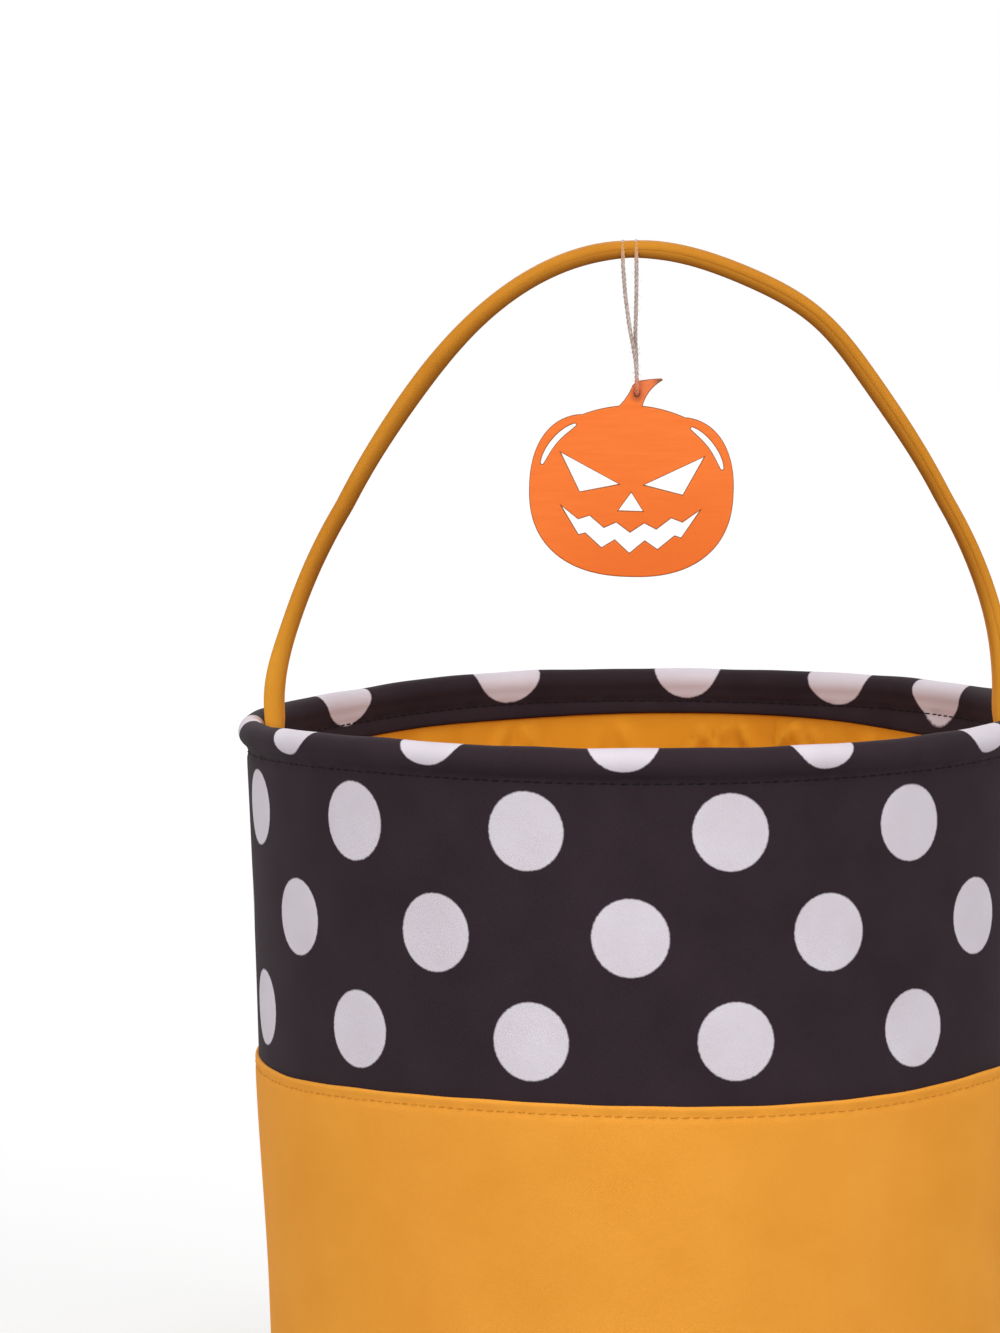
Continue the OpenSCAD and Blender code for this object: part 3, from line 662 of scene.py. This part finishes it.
def makeLining(c):
    # a wall inside the foam; the inside face looks to the axis, so its line runs downwards
    z = np.linspace(c["high"], c["low"], 400)
    line = stack(wallRadius(z) - bucket["liningIn"], z)
    s = lengths(line)
    section = clothSection(line, np.linspace(0, s[-1], 84), np.linspace(0.5, s[-1] - 0.5, 16), c["thick"])

    def push(angle, at):
        # loose waves that die out at the seams, and creases: long ridges across a slanted line
        held = np.sin(math.pi * rising(at, 0, s[-1])) ** 0.5
        total = held * (c["loose"] + sway(angle, c["waves"]))
        for degrees, centre, slant, long, wide, deep in creases:
            along = angleFrom(angle, math.radians(degrees)) * bucket["mouthR"]
            up = c["high"] - at - centre
            total = total + deep * bell(along - slant * up, wide) * bell(up, long)
        gather = bell(at - c["gatherAt"], c["gatherReach"]) * sway(angle, c["gathers"])
        return (total + gather) * rising(at, *c["free"])

    return turnCloth("liningWallCloth", section, c["columns"], push, liningCanvas, plainUv)


liningCloth = makeLining(liningWall)
attach(liningCloth, "bag", "lining_cloth", "lining_wall")

linerDisc = dict(radius=112.2, bottom=3.3, thick=0.7, crown=0.9, pucker=0.35, columns=240)
baseDisc = dict(radius=113.2, bottom=0.05, thick=0.9, crown=0.15, pucker=0.0, columns=240)
discSeam = dict(at=0.95, reach=0.05, puckers=[(1, 40, 0.3), (0.6, 63, 1.7)], waves=[(1, 3, 0.5), (0.8, 5, 1.9)])


def makeDisc(name, c, material):
    # a round of cloth: its face rises to the middle as one less the square of the radius, with puckers near its seam
    share = np.concatenate([[0.004], np.linspace(0.03, 0.9, 34), np.linspace(0.915, 1, 14)])
    turn = evenAngles(c["columns"])[:, None]
    lump = c["pucker"] * bell(share - discSeam["at"], discSeam["reach"]) * sway(turn, discSeam["puckers"])
    wave = c["pucker"] * share ** 2 * (1 - share ** 4) * sway(turn, discSeam["waves"])
    face = c["bottom"] + c["crown"] * (1 - share ** 2) + (lump + wave) * (1 - share ** 40)
    z = np.concatenate([face + c["thick"], face[:, ::-1]], 1)
    points = roundAxis(np.concatenate([share, share[::-1]]) * c["radius"], turn, z).reshape(-1, 3) * mm
    rows = z.shape[1]
    quads, _ = gridFaces(c["columns"], rows, True, False)
    first = np.arange(c["columns"]) * rows
    caps = [first.tolist(), (first + rows - 1)[::-1].tolist()]
    return makePiece(name, points, quads, material, points[quads.ravel()][:, :2], caps)


for name, size, material, slot, node in (
        ("liningDiscCloth", linerDisc, liningCanvas, "lining_cloth", "lining_base"),
        ("baseCloth", baseDisc, bandCanvas, "gold_cloth", "base_panel")):
    disc = makeDisc(name, size, material)
    attach(disc, "bag", slot, node)
print("lining and base made")

twine = dict(thick=1.3, plies=3, lay=4.6, plyThick=0.66, hang=(-1.25, -10.8, 365.8), pitch=4.1, sunkLeaf=1.25,
             sunkFold=0.95, hairs=70, hairLong=(0.5, 1.3), hairLean=1.2, hairR=0.035)
strap = dict(span=111.65, high=140.6, power=1.48, swell=1.4, lean=2.3, bulge=3.1, bulgeAt=61.5, bulgeReach=10.0,
             bulgeSlope=39.0, foot=1.7, rightFoot=0.8, footShare=0.45, wide=20.0, thick=5.2, leafR=1.6, crease=0.12,
             closed=(0.6, -0.35, 40.0),  # share at the middle, its change to the right and over how many mm
             footThick=(0.12, 33.0, 12.0), shoulderThick=(0.1, 330.0, 26.0),  # how much thicker, where and its reach
             pressed=(10.0, 22.0), pinch=0.07, pinchReach=5.0, tabX=112.5, tabLow=206.0, tabThick=0.8, stitchIn=3.4,
             groove=0.28, step=2.6, uneven=[(0.02, 1 / 23, 0), (0.012, 1 / 9.3, 1)],
             wander=[(0.25, 1 / 31, 0.5), (0.15, 1 / 13, 0)], cloth=("#c78322", "#bb771a"),
             # painted shade: darkening factors for the inner leaf beside the crease, and where it rises and falls
             paintedShade=(0.62, 0.57, 0.5, 1), paintedShadeRise=(-1.6, 2.4), paintedShadeFall=(10.0, 3.5),  # mm from the crease
             # painted light: the paler colour towards the sewn ends, its share and where it grows
             pale="#e09b2e", paleShare=0.75, paleOver=(-75.0, -30.0))  # mm from the ends
strapStitch = dict(length=2.6, thick=0.5, lift=0.06, sink=0.12, pitch=3.3, start=16.0, boxLow=2.2, boxHigh=12.4,
                   boxHalf=6.6)
# small bends of the soft strap: side, height, reach along it and how far it stands out
strapBends = [(-1, 325, 22, -0.6), (-1, 240, 14, 0.8), (1, 335, 20, -0.4)]


def archLine(c):
    # half turn of cosine by sine to a power, swollen and leaning most at half its height, with a bulged right
    # shoulder and feet that stand out, on two upright tabs
    t = np.linspace(0.004, math.pi - 0.004, 700)
    rise = np.sin(t) ** c["power"]
    middle = 4 * rise * (1 - rise)
    low = rising(rise, 0, c["footShare"])
    foot = np.where(t > math.pi / 2, -1, c["rightFoot"]) * 4 * c["foot"] * low * (1 - low)
    bulge = c["bulge"] * bell(np.degrees(t) - c["bulgeAt"], c["bulgeReach"])
    slope = math.radians(c["bulgeSlope"])
    x = (c["span"] + c["swell"] * middle) * np.cos(t) + c["lean"] * middle + bulge * math.sin(slope) + foot
    arch = stack(x, bucket["height"] + c["high"] * rise + bulge * math.cos(slope))
    z = np.linspace(c["tabLow"], bucket["height"] - 2, 40)
    inTab = rising(z, bucket["height"] - 4, bucket["height"] - 12)
    tab = stack(c["span"] + (c["tabX"] - c["span"]) * inTab, z)
    return soften(np.concatenate([tab, arch, tab[::-1] * np.array([-1, 1])]), 0.5, 2.0)


def strapSection(c):
    # across the strap: the fold behind, two faces with a groove under each row of stitches, and in front two
    # rounded leaves that meet in a crease
    half, leafR = c["thick"] / 2, c["leafR"]
    leafY, leafN = -c["wide"] / 2 + leafR, half - leafR
    foldY = c["wide"] / 2 - half
    fold = arc(foldY, 0, half, -90, 90, 11)
    y = np.linspace(foldY, leafY, 26)[1:-1]
    rows = (-c["wide"] / 2 + c["stitchIn"], c["wide"] / 2 - c["stitchIn"])
    face = half + 0.12 * np.cos(y / c["wide"] * math.pi) - c["groove"] * sum(bell(y - row, 0.9) for row in rows)
    leaf = arc(leafY, leafN, leafR, 90, 180 + math.degrees(math.asin(leafN / leafR)) - 4, 12)
    crease = [[leafY - math.sqrt(leafR ** 2 - leafN ** 2) + c["crease"], 0.0]]
    return np.concatenate([fold, stack(y, face), leaf, crease, leaf[::-1] * np.array([1, -1]),
                           stack(y, -face)[::-1]]), rows


def makeStrap(c):
    # the section carried along the arch, a little uneven in thickness, pressed flat at the sewn ends
    line = archLine(c)
    s = lengths(line)
    at = np.linspace(0, s[-1], int(s[-1] / c["step"]))
    place, way = valuesAt(line, s, at), unit(valuesAt(wayAlong(line), s, at))
    out = stack(way[:, 1], -way[:, 0])
    for side, level, reach, size in strapBends:
        place = place + (size * (side * place[:, 0] > 0) * bell(place[:, 1] - level, reach))[:, None] * out
    section, rows = strapSection(c)
    # the two leaves are pressed into one rounded front on the left and open into a crease on the right
    across = np.clip(1 - (2 * section[:, 1] / c["thick"]) ** 2, 0, 1)
    roundFront = c["leafR"] * (1 - np.sqrt(across)) - c["wide"] / 2
    inFront = section[:, 0] <= c["leafR"] - c["wide"] / 2 + 1e-6
    pressIn = np.where(inFront, roundFront - section[:, 0], 0)
    share, change, over = c["closed"]
    closed = share + change * np.tanh(place[:, 0] / over)
    end = np.minimum(at, at[-1] - at)
    pressed = rising(end, *c["pressed"])
    thickness = c["tabThick"] + (1 - c["tabThick"]) * ease(pressed)
    for where, (more, middle, reach) in ((end, c["footThick"]), (place[:, 1], c["shoulderThick"])):
        thickness = thickness + more * bell(where - middle, reach)
    overhead = place[:, 1] > bucket["height"] + c["high"] / 2
    tied = c["pinch"] * overhead * bell(place[:, 0] - twine["hang"][0], c["pinchReach"])
    thickness = thickness * (1 + sway(at, c["uneven"]) - tied)
    n = section[None, :, 1] * thickness[:, None]
    y = section[None, :, 0] + pressIn[None, :] * closed[:, None] + (sway(at, c["wander"]) * pressed)[:, None]
    points = np.stack([place[:, :1] + n * out[:, :1], y, place[:, 1:] + n * out[:, 1:]], -1)
    quads, flat = gridFaces(len(at), len(section), False, True)
    edgeLength = lengths(np.concatenate([section, section[:1]]))
    creaseAt = edgeLength[np.argmin(np.abs(section[:, 1]) + (section[:, 0] > 0) * c["wide"])]

    def paintedShadeAndLight(add, axes, tint):
        # painted shade on the inner leaf for some mm beside the crease, painted light paling the cloth to its ends
        half = at[-1] / 2
        fromTop = add("Math", (add("Math", (axes[0], half * mm), operation="SUBTRACT"),), operation="ABSOLUTE")
        rise, fall, low = (
            add("MapRange", (value, (zero + start) * mm, (zero + stop) * mm, 0.0, 1.0), **smoothStep)
            for value, zero, (start, stop) in ((axes[1], creaseAt, c["paintedShadeRise"]),
                                               (axes[1], creaseAt, c["paintedShadeFall"]), (fromTop, half, c["paleOver"])))
        # painted shade: the inner leaf darkened beside the crease, where less light from above falls
        paintedShade = add("Math", (rise, fall), operation="MULTIPLY")
        tint = add("Mix", {0: paintedShade, 6: tint, 7: c["paintedShade"]}, **colourMix, blend_type="MULTIPLY")
        # painted light: the cloth drawn paler towards its sewn ends
        paintedLightShare = add("Math", (low, c["paleShare"]), operation="MULTIPLY")
        return add("Mix", {0: paintedLightShare, 6: tint, 7: c["pale"]}, **colourMix)

    strapCanvas = dyedCanvas("strapPolyesterCanvas", *c["cloth"], paintedShadeAndLight=paintedShadeAndLight)
    piece = makePiece("strapCloth", points.reshape(-1, 3) * mm, quads, strapCanvas,
                      clothUv(at[:, None], edgeLength[None, :], flat), endCaps(len(at), len(section)).tolist())
    return piece, place, way, out, at, thickness, rows


def makeStrapStitches(c, size, place, way, out, at, thickness, rows):
    # a row near each edge on both faces, and a crossed box on the inner face of each sewn end
    centres, along, up = [], [], []
    half = c["thick"] / 2 - c["groove"] + 0.06

    def lay(lengthsAt, y, side, turn=0.0):
        # stitches at those lengths, y across the strap, on the face of that side and turned towards y
        p, w, o = (valuesAt(values, at, lengthsAt) for values in (place, way, out))
        face = p + side * (np.interp(lengthsAt, at, thickness) * half)[:, None] * o
        level = np.zeros(len(p))
        centres.append(stack(face[:, 0], level + y, face[:, 1]))
        along.append(stack(w[:, 0] * math.cos(turn), level + math.sin(turn), w[:, 1] * math.cos(turn)))
        up.append(side * stack(o[:, 0], level, o[:, 1]))

    for row in rows:
        for side in (-1, 1):
            lay(np.arange(size["start"], at[-1] - size["start"], size["pitch"]), row, side)
    low, high, boxHalf = size["boxLow"], size["boxHigh"], size["boxHalf"]
    cross = math.atan2(2 * boxHalf, high - low)
    for start, sign in ((0, 1), (at[-1], -1)):
        for y in (-boxHalf, boxHalf):
            lay(start + sign * np.linspace(low, high, 4), y, -1)
        for level in (low, high):
            lay(start + sign * np.full(5, level), np.linspace(-boxHalf, boxHalf, 5), -1, math.pi / 2)
        for hand in (-1, 1):
            lay(start + sign * np.linspace(low + 1, high - 1, 5), hand * np.linspace(-boxHalf + 1, boxHalf - 1, 5), -1,
                hand * sign * cross)
    return makeStitches("strapStitches", np.concatenate(centres), unit(np.concatenate(along)), np.concatenate(up),
                        size, goldThread)


strapCloth, *strapParts = makeStrap(strap)
strapSewing = makeStrapStitches(strap, strapStitch, *strapParts)
for obj in (strapCloth, strapSewing):
    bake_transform(obj)
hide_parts("handle_strap", "handle_tab_left", "handle_tab_right")
print("strap made")

# the hanging route from the swing axis, in mm, as in the solids
dropRoute = np.array([
    [-2.05, 0, 0.4], [-1.85, 0, -3.5], [-1.45, 0, -9], [-0.75, -0.1, -15], [-0.05, -0.4, -20], [0.7, -0.75, -24],
    [1.2, -1.1, -27], [1.55, -1.7, -30], [1.72, -2.4, -32.5], [1.75, -2.6, -34.6], [1.75, -2.6, -36.7],
    [1.75, -2.4, -37.7], [1.75, -1.8, -38.6], [1.75, -0.95, -39.2], [1.75, 0, -39.4],
    [1.75, 0.95, -39.2], [1.75, 1.8, -38.6], [1.75, 2.4, -37.7], [1.75, 2.6, -36.7],
    [1.75, 2.6, -34.6], [1.72, 2.4, -32.5], [1.7, 1.7, -30], [1.65, 1.1, -27], [1.5, 0.75, -24],
    [1.5, 0.4, -20], [1.7, 0.1, -15], [1.9, 0, -9], [2, 0, -3.5], [2.05, 0, 0.4]]) + twine["hang"]
# the knot behind the strap, in mm, and the route of its right tail
knotShape = dict(behind=1.6, apart=0.65, size=0.46, deep=1.3, radius=0.55)
knotTail = [[0, 0, 0], [0.6, 1.0, -0.3], [1.6, 1.5, -0.9], [2.8, 1.6, -1.9]]


def crossAxes(way):
    # the axis nearest X across a way that never runs along X, and the one over both
    across = unit(np.array([1.0, 0, 0]) - way[:, :1] * way)
    return across, np.cross(way, across)


def rings(line, across, over, radius, sides, closed):
    # a round section of that radius at each point of a line
    a = evenAngles(sides)[None, :, None]
    points = line[:, None] + radius * (np.cos(a) * across[:, None] + np.sin(a) * over[:, None])
    return points.reshape(-1, 3), gridFaces(len(line), sides, closed, True)[0]


def tube(line, radius, sides=8):
    # rings along a line, its ends drawn in
    size = np.full((len(line), 1, 1), radius)
    size[[0, -1]] *= 0.45
    return *rings(line, *crossAxes(wayAlong(line)), size, sides, False), endCaps(len(line), sides)


def loopTube(line, radius, sides=8):
    # rings along a closed line, turned to face away from its middle
    way = unit(np.roll(line, -1, 0) - np.roll(line, 1, 0))
    away = line - line.mean(0)
    across = unit(away - (away * way).sum(1, keepdims=True) * way)
    return *rings(line, across, np.cross(way, across), radius, sides, True), []


def plies(line, c):
    # a core, and plies that wind round it: their angle grows by a whole turn over the lay
    across, over = crossAxes(wayAlong(line))
    offset, radius = (c["thick"] - c["plyThick"]) / 2, c["plyThick"] / 2
    made = [tube(line, radius)]
    for k in range(c["plies"]):
        a = fullTurn * (lengths(line) / c["lay"] + k / c["plies"])[:, None]
        made.append(tube(line + offset * (np.cos(a) * across + np.sin(a) * over), radius))
    return made


def hairs(line, c):
    # loose fibres: thin bent spikes that leave the twine at a slant
    count, s = c["hairs"], lengths(line)
    at = rng.uniform(0.02, 0.98, count) * s[-1]
    root, way = valuesAt(line, s, at), valuesAt(wayAlong(line), s, at)
    turn = rng.uniform(0, fullTurn, count)[:, None]
    across, over = crossAxes(way)
    aside = np.cos(turn) * across + np.sin(turn) * over
    long = rng.uniform(*c["hairLong"], count)
    lean = rng.uniform(-c["hairLean"], c["hairLean"], count)
    t = np.linspace(0, 1, 4)[:, None]
    return [tube(root[k] + aside[k] * (c["thick"] * 0.4 + t * long[k]) + way[k] * lean[k] * t ** 2 * long[k],
                 c["hairR"], 3) for k in range(count)]


def makeTwine(name, parts):
    # several sets of points and faces as one piece, the faces counted on from part to part
    starts = np.cumsum([0] + [len(points) for points, _, _ in parts[:-1]])
    points = np.concatenate([points for points, _, _ in parts])
    quads = np.concatenate([quads + start for (_, quads, _), start in zip(parts, starts)])
    caps = [(cap + start).tolist() for (_, _, many), start in zip(parts, starts) for cap in many]
    return makePiece(name, points * mm, quads, juteTwine, caps=caps)


def makeHitch(c, k):
    # each turn: up the front of the lower leaf, sunk into the upper one, over the strap and round its fold to the
    # knot, then back underneath to its own leg; the knot is a trefoil with two tails
    half, leafR = strap["thick"] / 2 * (1 - strap["pinch"]), strap["leafR"]
    leafY, leafN, foldY = -strap["wide"] / 2 + leafR, half - leafR, strap["wide"] / 2 - half
    leafWrap, foldWrap = leafR + c["thick"] / 2 - c["sunkLeaf"], half + c["thick"] / 2 - c["sunkFold"]
    hangX, hangY, hangZ = c["hang"]
    knot = np.array([hangX, strap["wide"] / 2 + k["behind"], bucket["height"] + strap["high"]])
    parts = []
    for side in (-1, 1):
        x = hangX + side * c["pitch"] / 2
        mid = bucket["height"] + strap["high"] * (1 - (x / strap["span"]) ** 2) ** (strap["power"] / 2)
        front = [[hangY, hangZ - 0.3], [hangY + 0.8, mid - leafN]]
        over = np.concatenate([front, arc(leafY, mid + leafN, leafWrap, 180, 90, 9), [[0, mid + foldWrap]],
                               arc(foldY, mid, foldWrap, 90, 30, 9)])
        under = np.concatenate([arc(foldY, mid, foldWrap, -30, -90, 9), [[0, mid - foldWrap]],
                                arc(leafY, mid - leafN, leafWrap, 270, 225, 9)])
        over, under = (np.column_stack([np.full(len(run), x), run]) for run in (over, under))
        tied = [knot + [side * k["apart"], 0, 0]]
        for run in ([over, tied], [tied, under]):
            parts += plies(soften(np.concatenate(run), 0.3, 0.5), c)
    t = np.linspace(0, fullTurn, 90)[:-1]
    trefoil = stack(np.sin(t) + 2 * np.sin(2 * t), -np.sin(3 * t) * k["deep"], np.cos(t) - 2 * np.cos(2 * t))
    parts.append(loopTube(trefoil * k["size"] + knot, k["radius"]))
    for side in (-1, 1):
        parts += plies(soften(np.array(knotTail) * [side, 1, 1] + knot, 0.3, 0.6), c)
    return makeTwine("twineTurns", parts)


dropLine = soften(dropRoute, 0.3, 0.9)
dropTwine = makeTwine("hangingTwine", plies(dropLine, twine) + hairs(dropLine, twine))
attach(dropTwine, "twine", "jute", "twine_drop")
float(lengths(dropLine)[-1] * mm)
attach(makeHitch(twine, knotShape), "handle", "jute", "twine_hitch")
print("twine made")

pumpkin = dict(wide=62.4, lowHigh=27.0, lowPower=2.36, shoulderHigh=22.3, shoulderAt=0.45, shoulderPower=2.25,
               crownHigh=25.4, notch=0.505, stemHigh=8.8, stemBows=(0.75, -0.15, 0.4), thick=3.0, bevel=0.4,
               holeD=1.3, holeSag=0.1, holeHigh=3.4, holeX=0.024, hole=(0.5, -10.8, 326.7), lean=2.5)
# corners as shares of the half width and of the lower half's height, the stem's as shares of the stem's height
eye = [(0.7, 0.384), (0.122, 0.046), (0.503, -0.053)]
nose = [(0, -0.045), (0.122, -0.253), (-0.122, -0.253)]
mouthHalf = [(0, -0.5), (0.137, -0.388), (0.257, -0.455), (0.4, -0.32), (0.51, -0.366), (0.678, -0.22),
             (0.502, -0.538), (0.436, -0.516), (0.274, -0.678), (0.146, -0.582), (0, -0.731)]
stemFeet = (-0.147, 0.083)
stemCut = [(0.232, 0.81), (0.272, 0.905), (0.262, 0.96), (0.02, 0.84), (-0.022, 0.69)]
slotEnds = [(0.574, 0.7), (0.88, 0.26)]
slotShape = dict(bow=0.046, halfWide=0.028, tip=0.5)


def oval(centre, a, b, power, start, stop, steps):
    # rounded oval: each coordinate is its half size times cosine or sine to 2 over the power
    turn = arc(0, 0, 1, start, stop, steps + 1)
    return np.array(centre) + np.array([a, b]) * np.sign(turn) * np.abs(turn) ** (2 / power)


def bowed(p, q, bow, steps):
    # straight run that stands off to its left by a parabola
    p, q = np.array(p, float), np.array(q, float)
    s = np.linspace(0, 1, steps + 1)[:, None]
    left = np.array([p[1] - q[1], q[0] - p[0]]) / np.linalg.norm(q - p)
    return p + s * (q - p) + 4 * bow * s * (1 - s) * left


def bandOutline(line, halfWide, tip):
    # a band along a line: its half width falls with the fourth power to the tip's share at both ends, which are round
    way = wayAlong(line)
    left = stack(-way[:, 1], way[:, 0])
    side = halfWide * (1 - (1 - tip) * np.linspace(-1, 1, len(line))[:, None] ** 4) * left
    a = np.radians(np.linspace(75, -75, 9))[:, None]
    start, end = (line[k] + sign * tip * halfWide * (np.cos(a) * way[k] + np.sin(a) * left[k])
                  for k, sign in ((0, -1), (-1, 1)))
    return np.concatenate([line + side, end, (line - side)[::-1], start])


def pumpkinOutlines(c):
    # lower half, right shoulder, a flat arc with the stem, left shoulder; then every cut-out
    half, crown = c["wide"] / 2, c["crownHigh"]
    notch = c["notch"] * half
    shoulder = oval((c["shoulderAt"] * half, 0), (1 - c["shoulderAt"]) * half, c["shoulderHigh"], c["shoulderPower"],
                    0, 88, 40)
    shoulder = shoulder[shoulder[:, 0] > notch]
    sag = (crown - shoulder[-1, 1]) / notch ** 2
    right, left = (stack(x, crown - sag * x ** 2) for x in (
        np.linspace(notch, stemFeet[1] * half, 12), np.linspace(stemFeet[0] * half, -notch, 12)))
    cut = [(x * half, crown + z * c["stemHigh"]) for x, z in stemCut]
    inner, tip, outer = c["stemBows"]
    mirror = np.array([-1, 1])
    outline = np.concatenate([
        oval((0, 0), half, c["lowHigh"], c["lowPower"], 183, 357, 58), shoulder, right[:-1],
        bowed(right[-1], cut[0], inner, 10), [cut[1]], bowed(cut[2], cut[3], tip, 6),
        bowed(cut[4], left[0], outer, 6)[:-1], left, shoulder[::-1] * mirror])
    scale = np.array([half, c["lowHigh"]])
    eyeR, mouthR = np.array(eye) * scale, np.array(mouthHalf) * scale
    slotLine = bowed(*np.array(slotEnds) * scale, slotShape["bow"] * half, 14)
    slotR = bandOutline(slotLine, slotShape["halfWide"] * half, slotShape["tip"])
    a = evenAngles(28)
    holeAt = [c["holeX"] * half, crown + c["holeHigh"] - c["holeSag"]]
    hole = stack(np.cos(a), np.sin(a)) * c["holeD"] / 2 + holeAt
    mouth = np.concatenate([mouthR, mouthR[-2:0:-1] * mirror])
    return [outline, eyeR, eyeR * mirror, np.array(nose) * scale, mouth, slotR, slotR * mirror, hole]


def makePumpkin(c):
    # the outlines as one flat curve, thickened with rounded edges and made a mesh, then hung by its hole
    curve = bpy.data.curves.new("pumpkinOutline", "CURVE")
    curve.dimensions, curve.fill_mode = "2D", "BOTH"
    curve.bevel_depth, curve.bevel_resolution = c["bevel"] * mm, 2
    curve.extrude, curve.offset = (c["thick"] / 2 - c["bevel"]) * mm, -c["bevel"] * mm
    for outline in pumpkinOutlines(c):
        spline = curve.splines.new("POLY")
        count = len(outline)
        spline.points.add(count - 1)
        spline.points.foreach_set("co", np.column_stack([outline * mm, np.zeros(count), np.ones(count)]).ravel())
        spline.use_cyclic_u = True
    shape = addObject("pumpkinOutline", curve)
    bpy.context.view_layer.update()
    mesh = bpy.data.meshes.new_from_object(shape.evaluated_get(bpy.context.evaluated_depsgraph_get()))
    bpy.data.objects.remove(shape)
    toHole = Matrix.Translation((-c["holeX"] * c["wide"] / 2 * mm, -(c["crownHigh"] + c["holeHigh"]) * mm, 0))
    stand = Matrix.Rotation(math.radians(90), 4, "X")
    leanOver = Matrix.Rotation(math.radians(c["lean"]), 4, "Y")
    mesh.transform(Matrix.Translation([v * mm for v in c["hole"]]) @ leanOver @ stand @ toHole)
    mesh.name = "plywoodPumpkin"
    mesh.materials.clear()
    for material in (tagEnamel, tagEdge):
        mesh.materials.append(material)
    # faces that look forward or back are enamel, the rest are cut edge
    normals = np.zeros(len(mesh.polygons) * 3, np.float32)
    mesh.polygons.foreach_get("normal", normals)
    mesh.polygons.foreach_set("material_index", (np.abs(normals.reshape(-1, 3)[:, 1]) < 0.8).astype(np.int32))
    mesh.polygons.foreach_set("use_smooth", np.ones(len(mesh.polygons), bool))
    mesh.set_sharp_from_angle(angle=math.radians(35))
    return addObject("plywoodPumpkin", mesh)


attach(makePumpkin(pumpkin), "tag", "painted_plywood", "pumpkin_tag")
print("pumpkin made")

# grey pulp board, bright drawn wire, crimped steel and waxy extruded strip, each with its own fine grain
innerNodes = dict(
    wall_stiffener=foamSheet,
    base_board=grainedStuff("greyboard", ("#8f857a", "#7c7267"), 0.9, Roughness=0.9),
    rim_hoop=grainedStuff("drawnSpringWire", ("#b9bcc0", "#a8abb0"), 0.3, Roughness=0.35, Metallic=1.0),
    hoop_ferrule=grainedStuff("crimpedSteelTube", ("#b4b7bb", "#9fa2a7"), 0.4, Roughness=0.4, Metallic=1.0),
    handle_core=grainedStuff("extrudedPolyethylene", ("#efefe9", "#e4e4dc"), 1.2, Roughness=0.5))
for node, material in innerNodes.items():
    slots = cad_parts[node].data.materials
    slots.clear()
    slots.append(material)
print("inner pieces dressed")

studio = dict(floorHalf=6.0, skyStrength=0.48, paper="#b0b0b0", paperSeen="#f8f8f8", glow=1.03, glowShare=0.25,
              glowFrom=450, glowTo=1200, lookAt=(0, 0, 0.2))
# soft boxes: power, place and size
softBoxes = dict(leftSoftBox=(25.0, (-1.6, -1.7, 1.15), 1.3), rightSoftBox=(25.0, (1.6, -1.7, 1.15), 1.3),
                 topSoftBox=(11.0, (0.1, -0.6, 2.0), 1.1), backSoftBox=(12.0, (-0.5, 1.9, 1.4), 1.2))


def addLamp(name, power, place, size, lookAt):
    # a square soft box that looks at the middle of the bucket
    data = bpy.data.lights.new(name, "AREA")
    data.energy, data.size = power, size
    away = unit(np.array(place) - np.array(lookAt))
    side = unit(np.cross([0, 0, 1.0], away))
    addAimed(name, data, side, np.cross(away, side), away, place)


def seenDirectly(add):
    # one for what the camera sees straight, in a reflection or through glass
    path = add("LightPath").node.outputs
    seen = add("Math", (path["Is Camera Ray"], path["Is Glossy Ray"]), operation="MAXIMUM")
    return add("Math", (seen, path["Is Transmission Ray"]), operation="MAXIMUM")


# white paper sweep: matt; near the bucket it keeps the shadow, and further out it fades into the white background
def paperSweep(c):
    material, add = newMaterial("whitePaperSweep", Roughness=0.9)
    tree = material.node_tree
    seen = seenDirectly(add)
    dress(material, add("Mix", {0: seen, 6: c["paper"], 7: c["paperSeen"]}, **colourMix))
    away = add("VectorMath", (add("TexCoord", output="Object"),), "Value", operation="LENGTH")
    fade = add("MapRange", (away, c["glowFrom"] * mm, c["glowTo"] * mm, c["glowShare"], 1.0), **smoothStep)
    glow = add("Emission", {"Color": (1, 1, 1, 1), "Strength": c["glow"]})
    share = add("Math", (seen, fade), operation="MULTIPLY")
    mixed = add("MixShader", (share, tree.nodes["Principled BSDF"].outputs[0], glow))
    tree.links.new(mixed, tree.nodes["Material Output"].inputs["Surface"])
    return material


def setStudio(c):
    # a flat floor, a white world that lights less than it shows, and the soft boxes
    half = c["floorHalf"]
    mesh = bpy.data.meshes.new("studioFloor")
    mesh.from_pydata([(-half, -half, 0), (half, -half, 0), (half, half, 0), (-half, half, 0)], [], [(0, 1, 2, 3)])
    mesh.materials.append(paperSweep(c))
    addObject("studioFloor", mesh)
    world = bpy.data.worlds.new("whiteStudio")
    bpy.context.scene.world = world
    world.use_nodes = True
    tree = world.node_tree
    sky = tree.nodes["Background"].inputs
    sky["Color"].default_value = (1, 1, 1, 1)
    add = partial(addNode, tree)
    tree.links.new(add("MapRange", (seenDirectly(add), 0.0, 1.0, c["skyStrength"], 1.0)), sky["Strength"])
    for name, lamp in softBoxes.items():
        addLamp(name, *lamp, c["lookAt"])
    bpy.context.scene.view_settings.view_transform = "Standard"


setStudio(studio)
print("studio set")
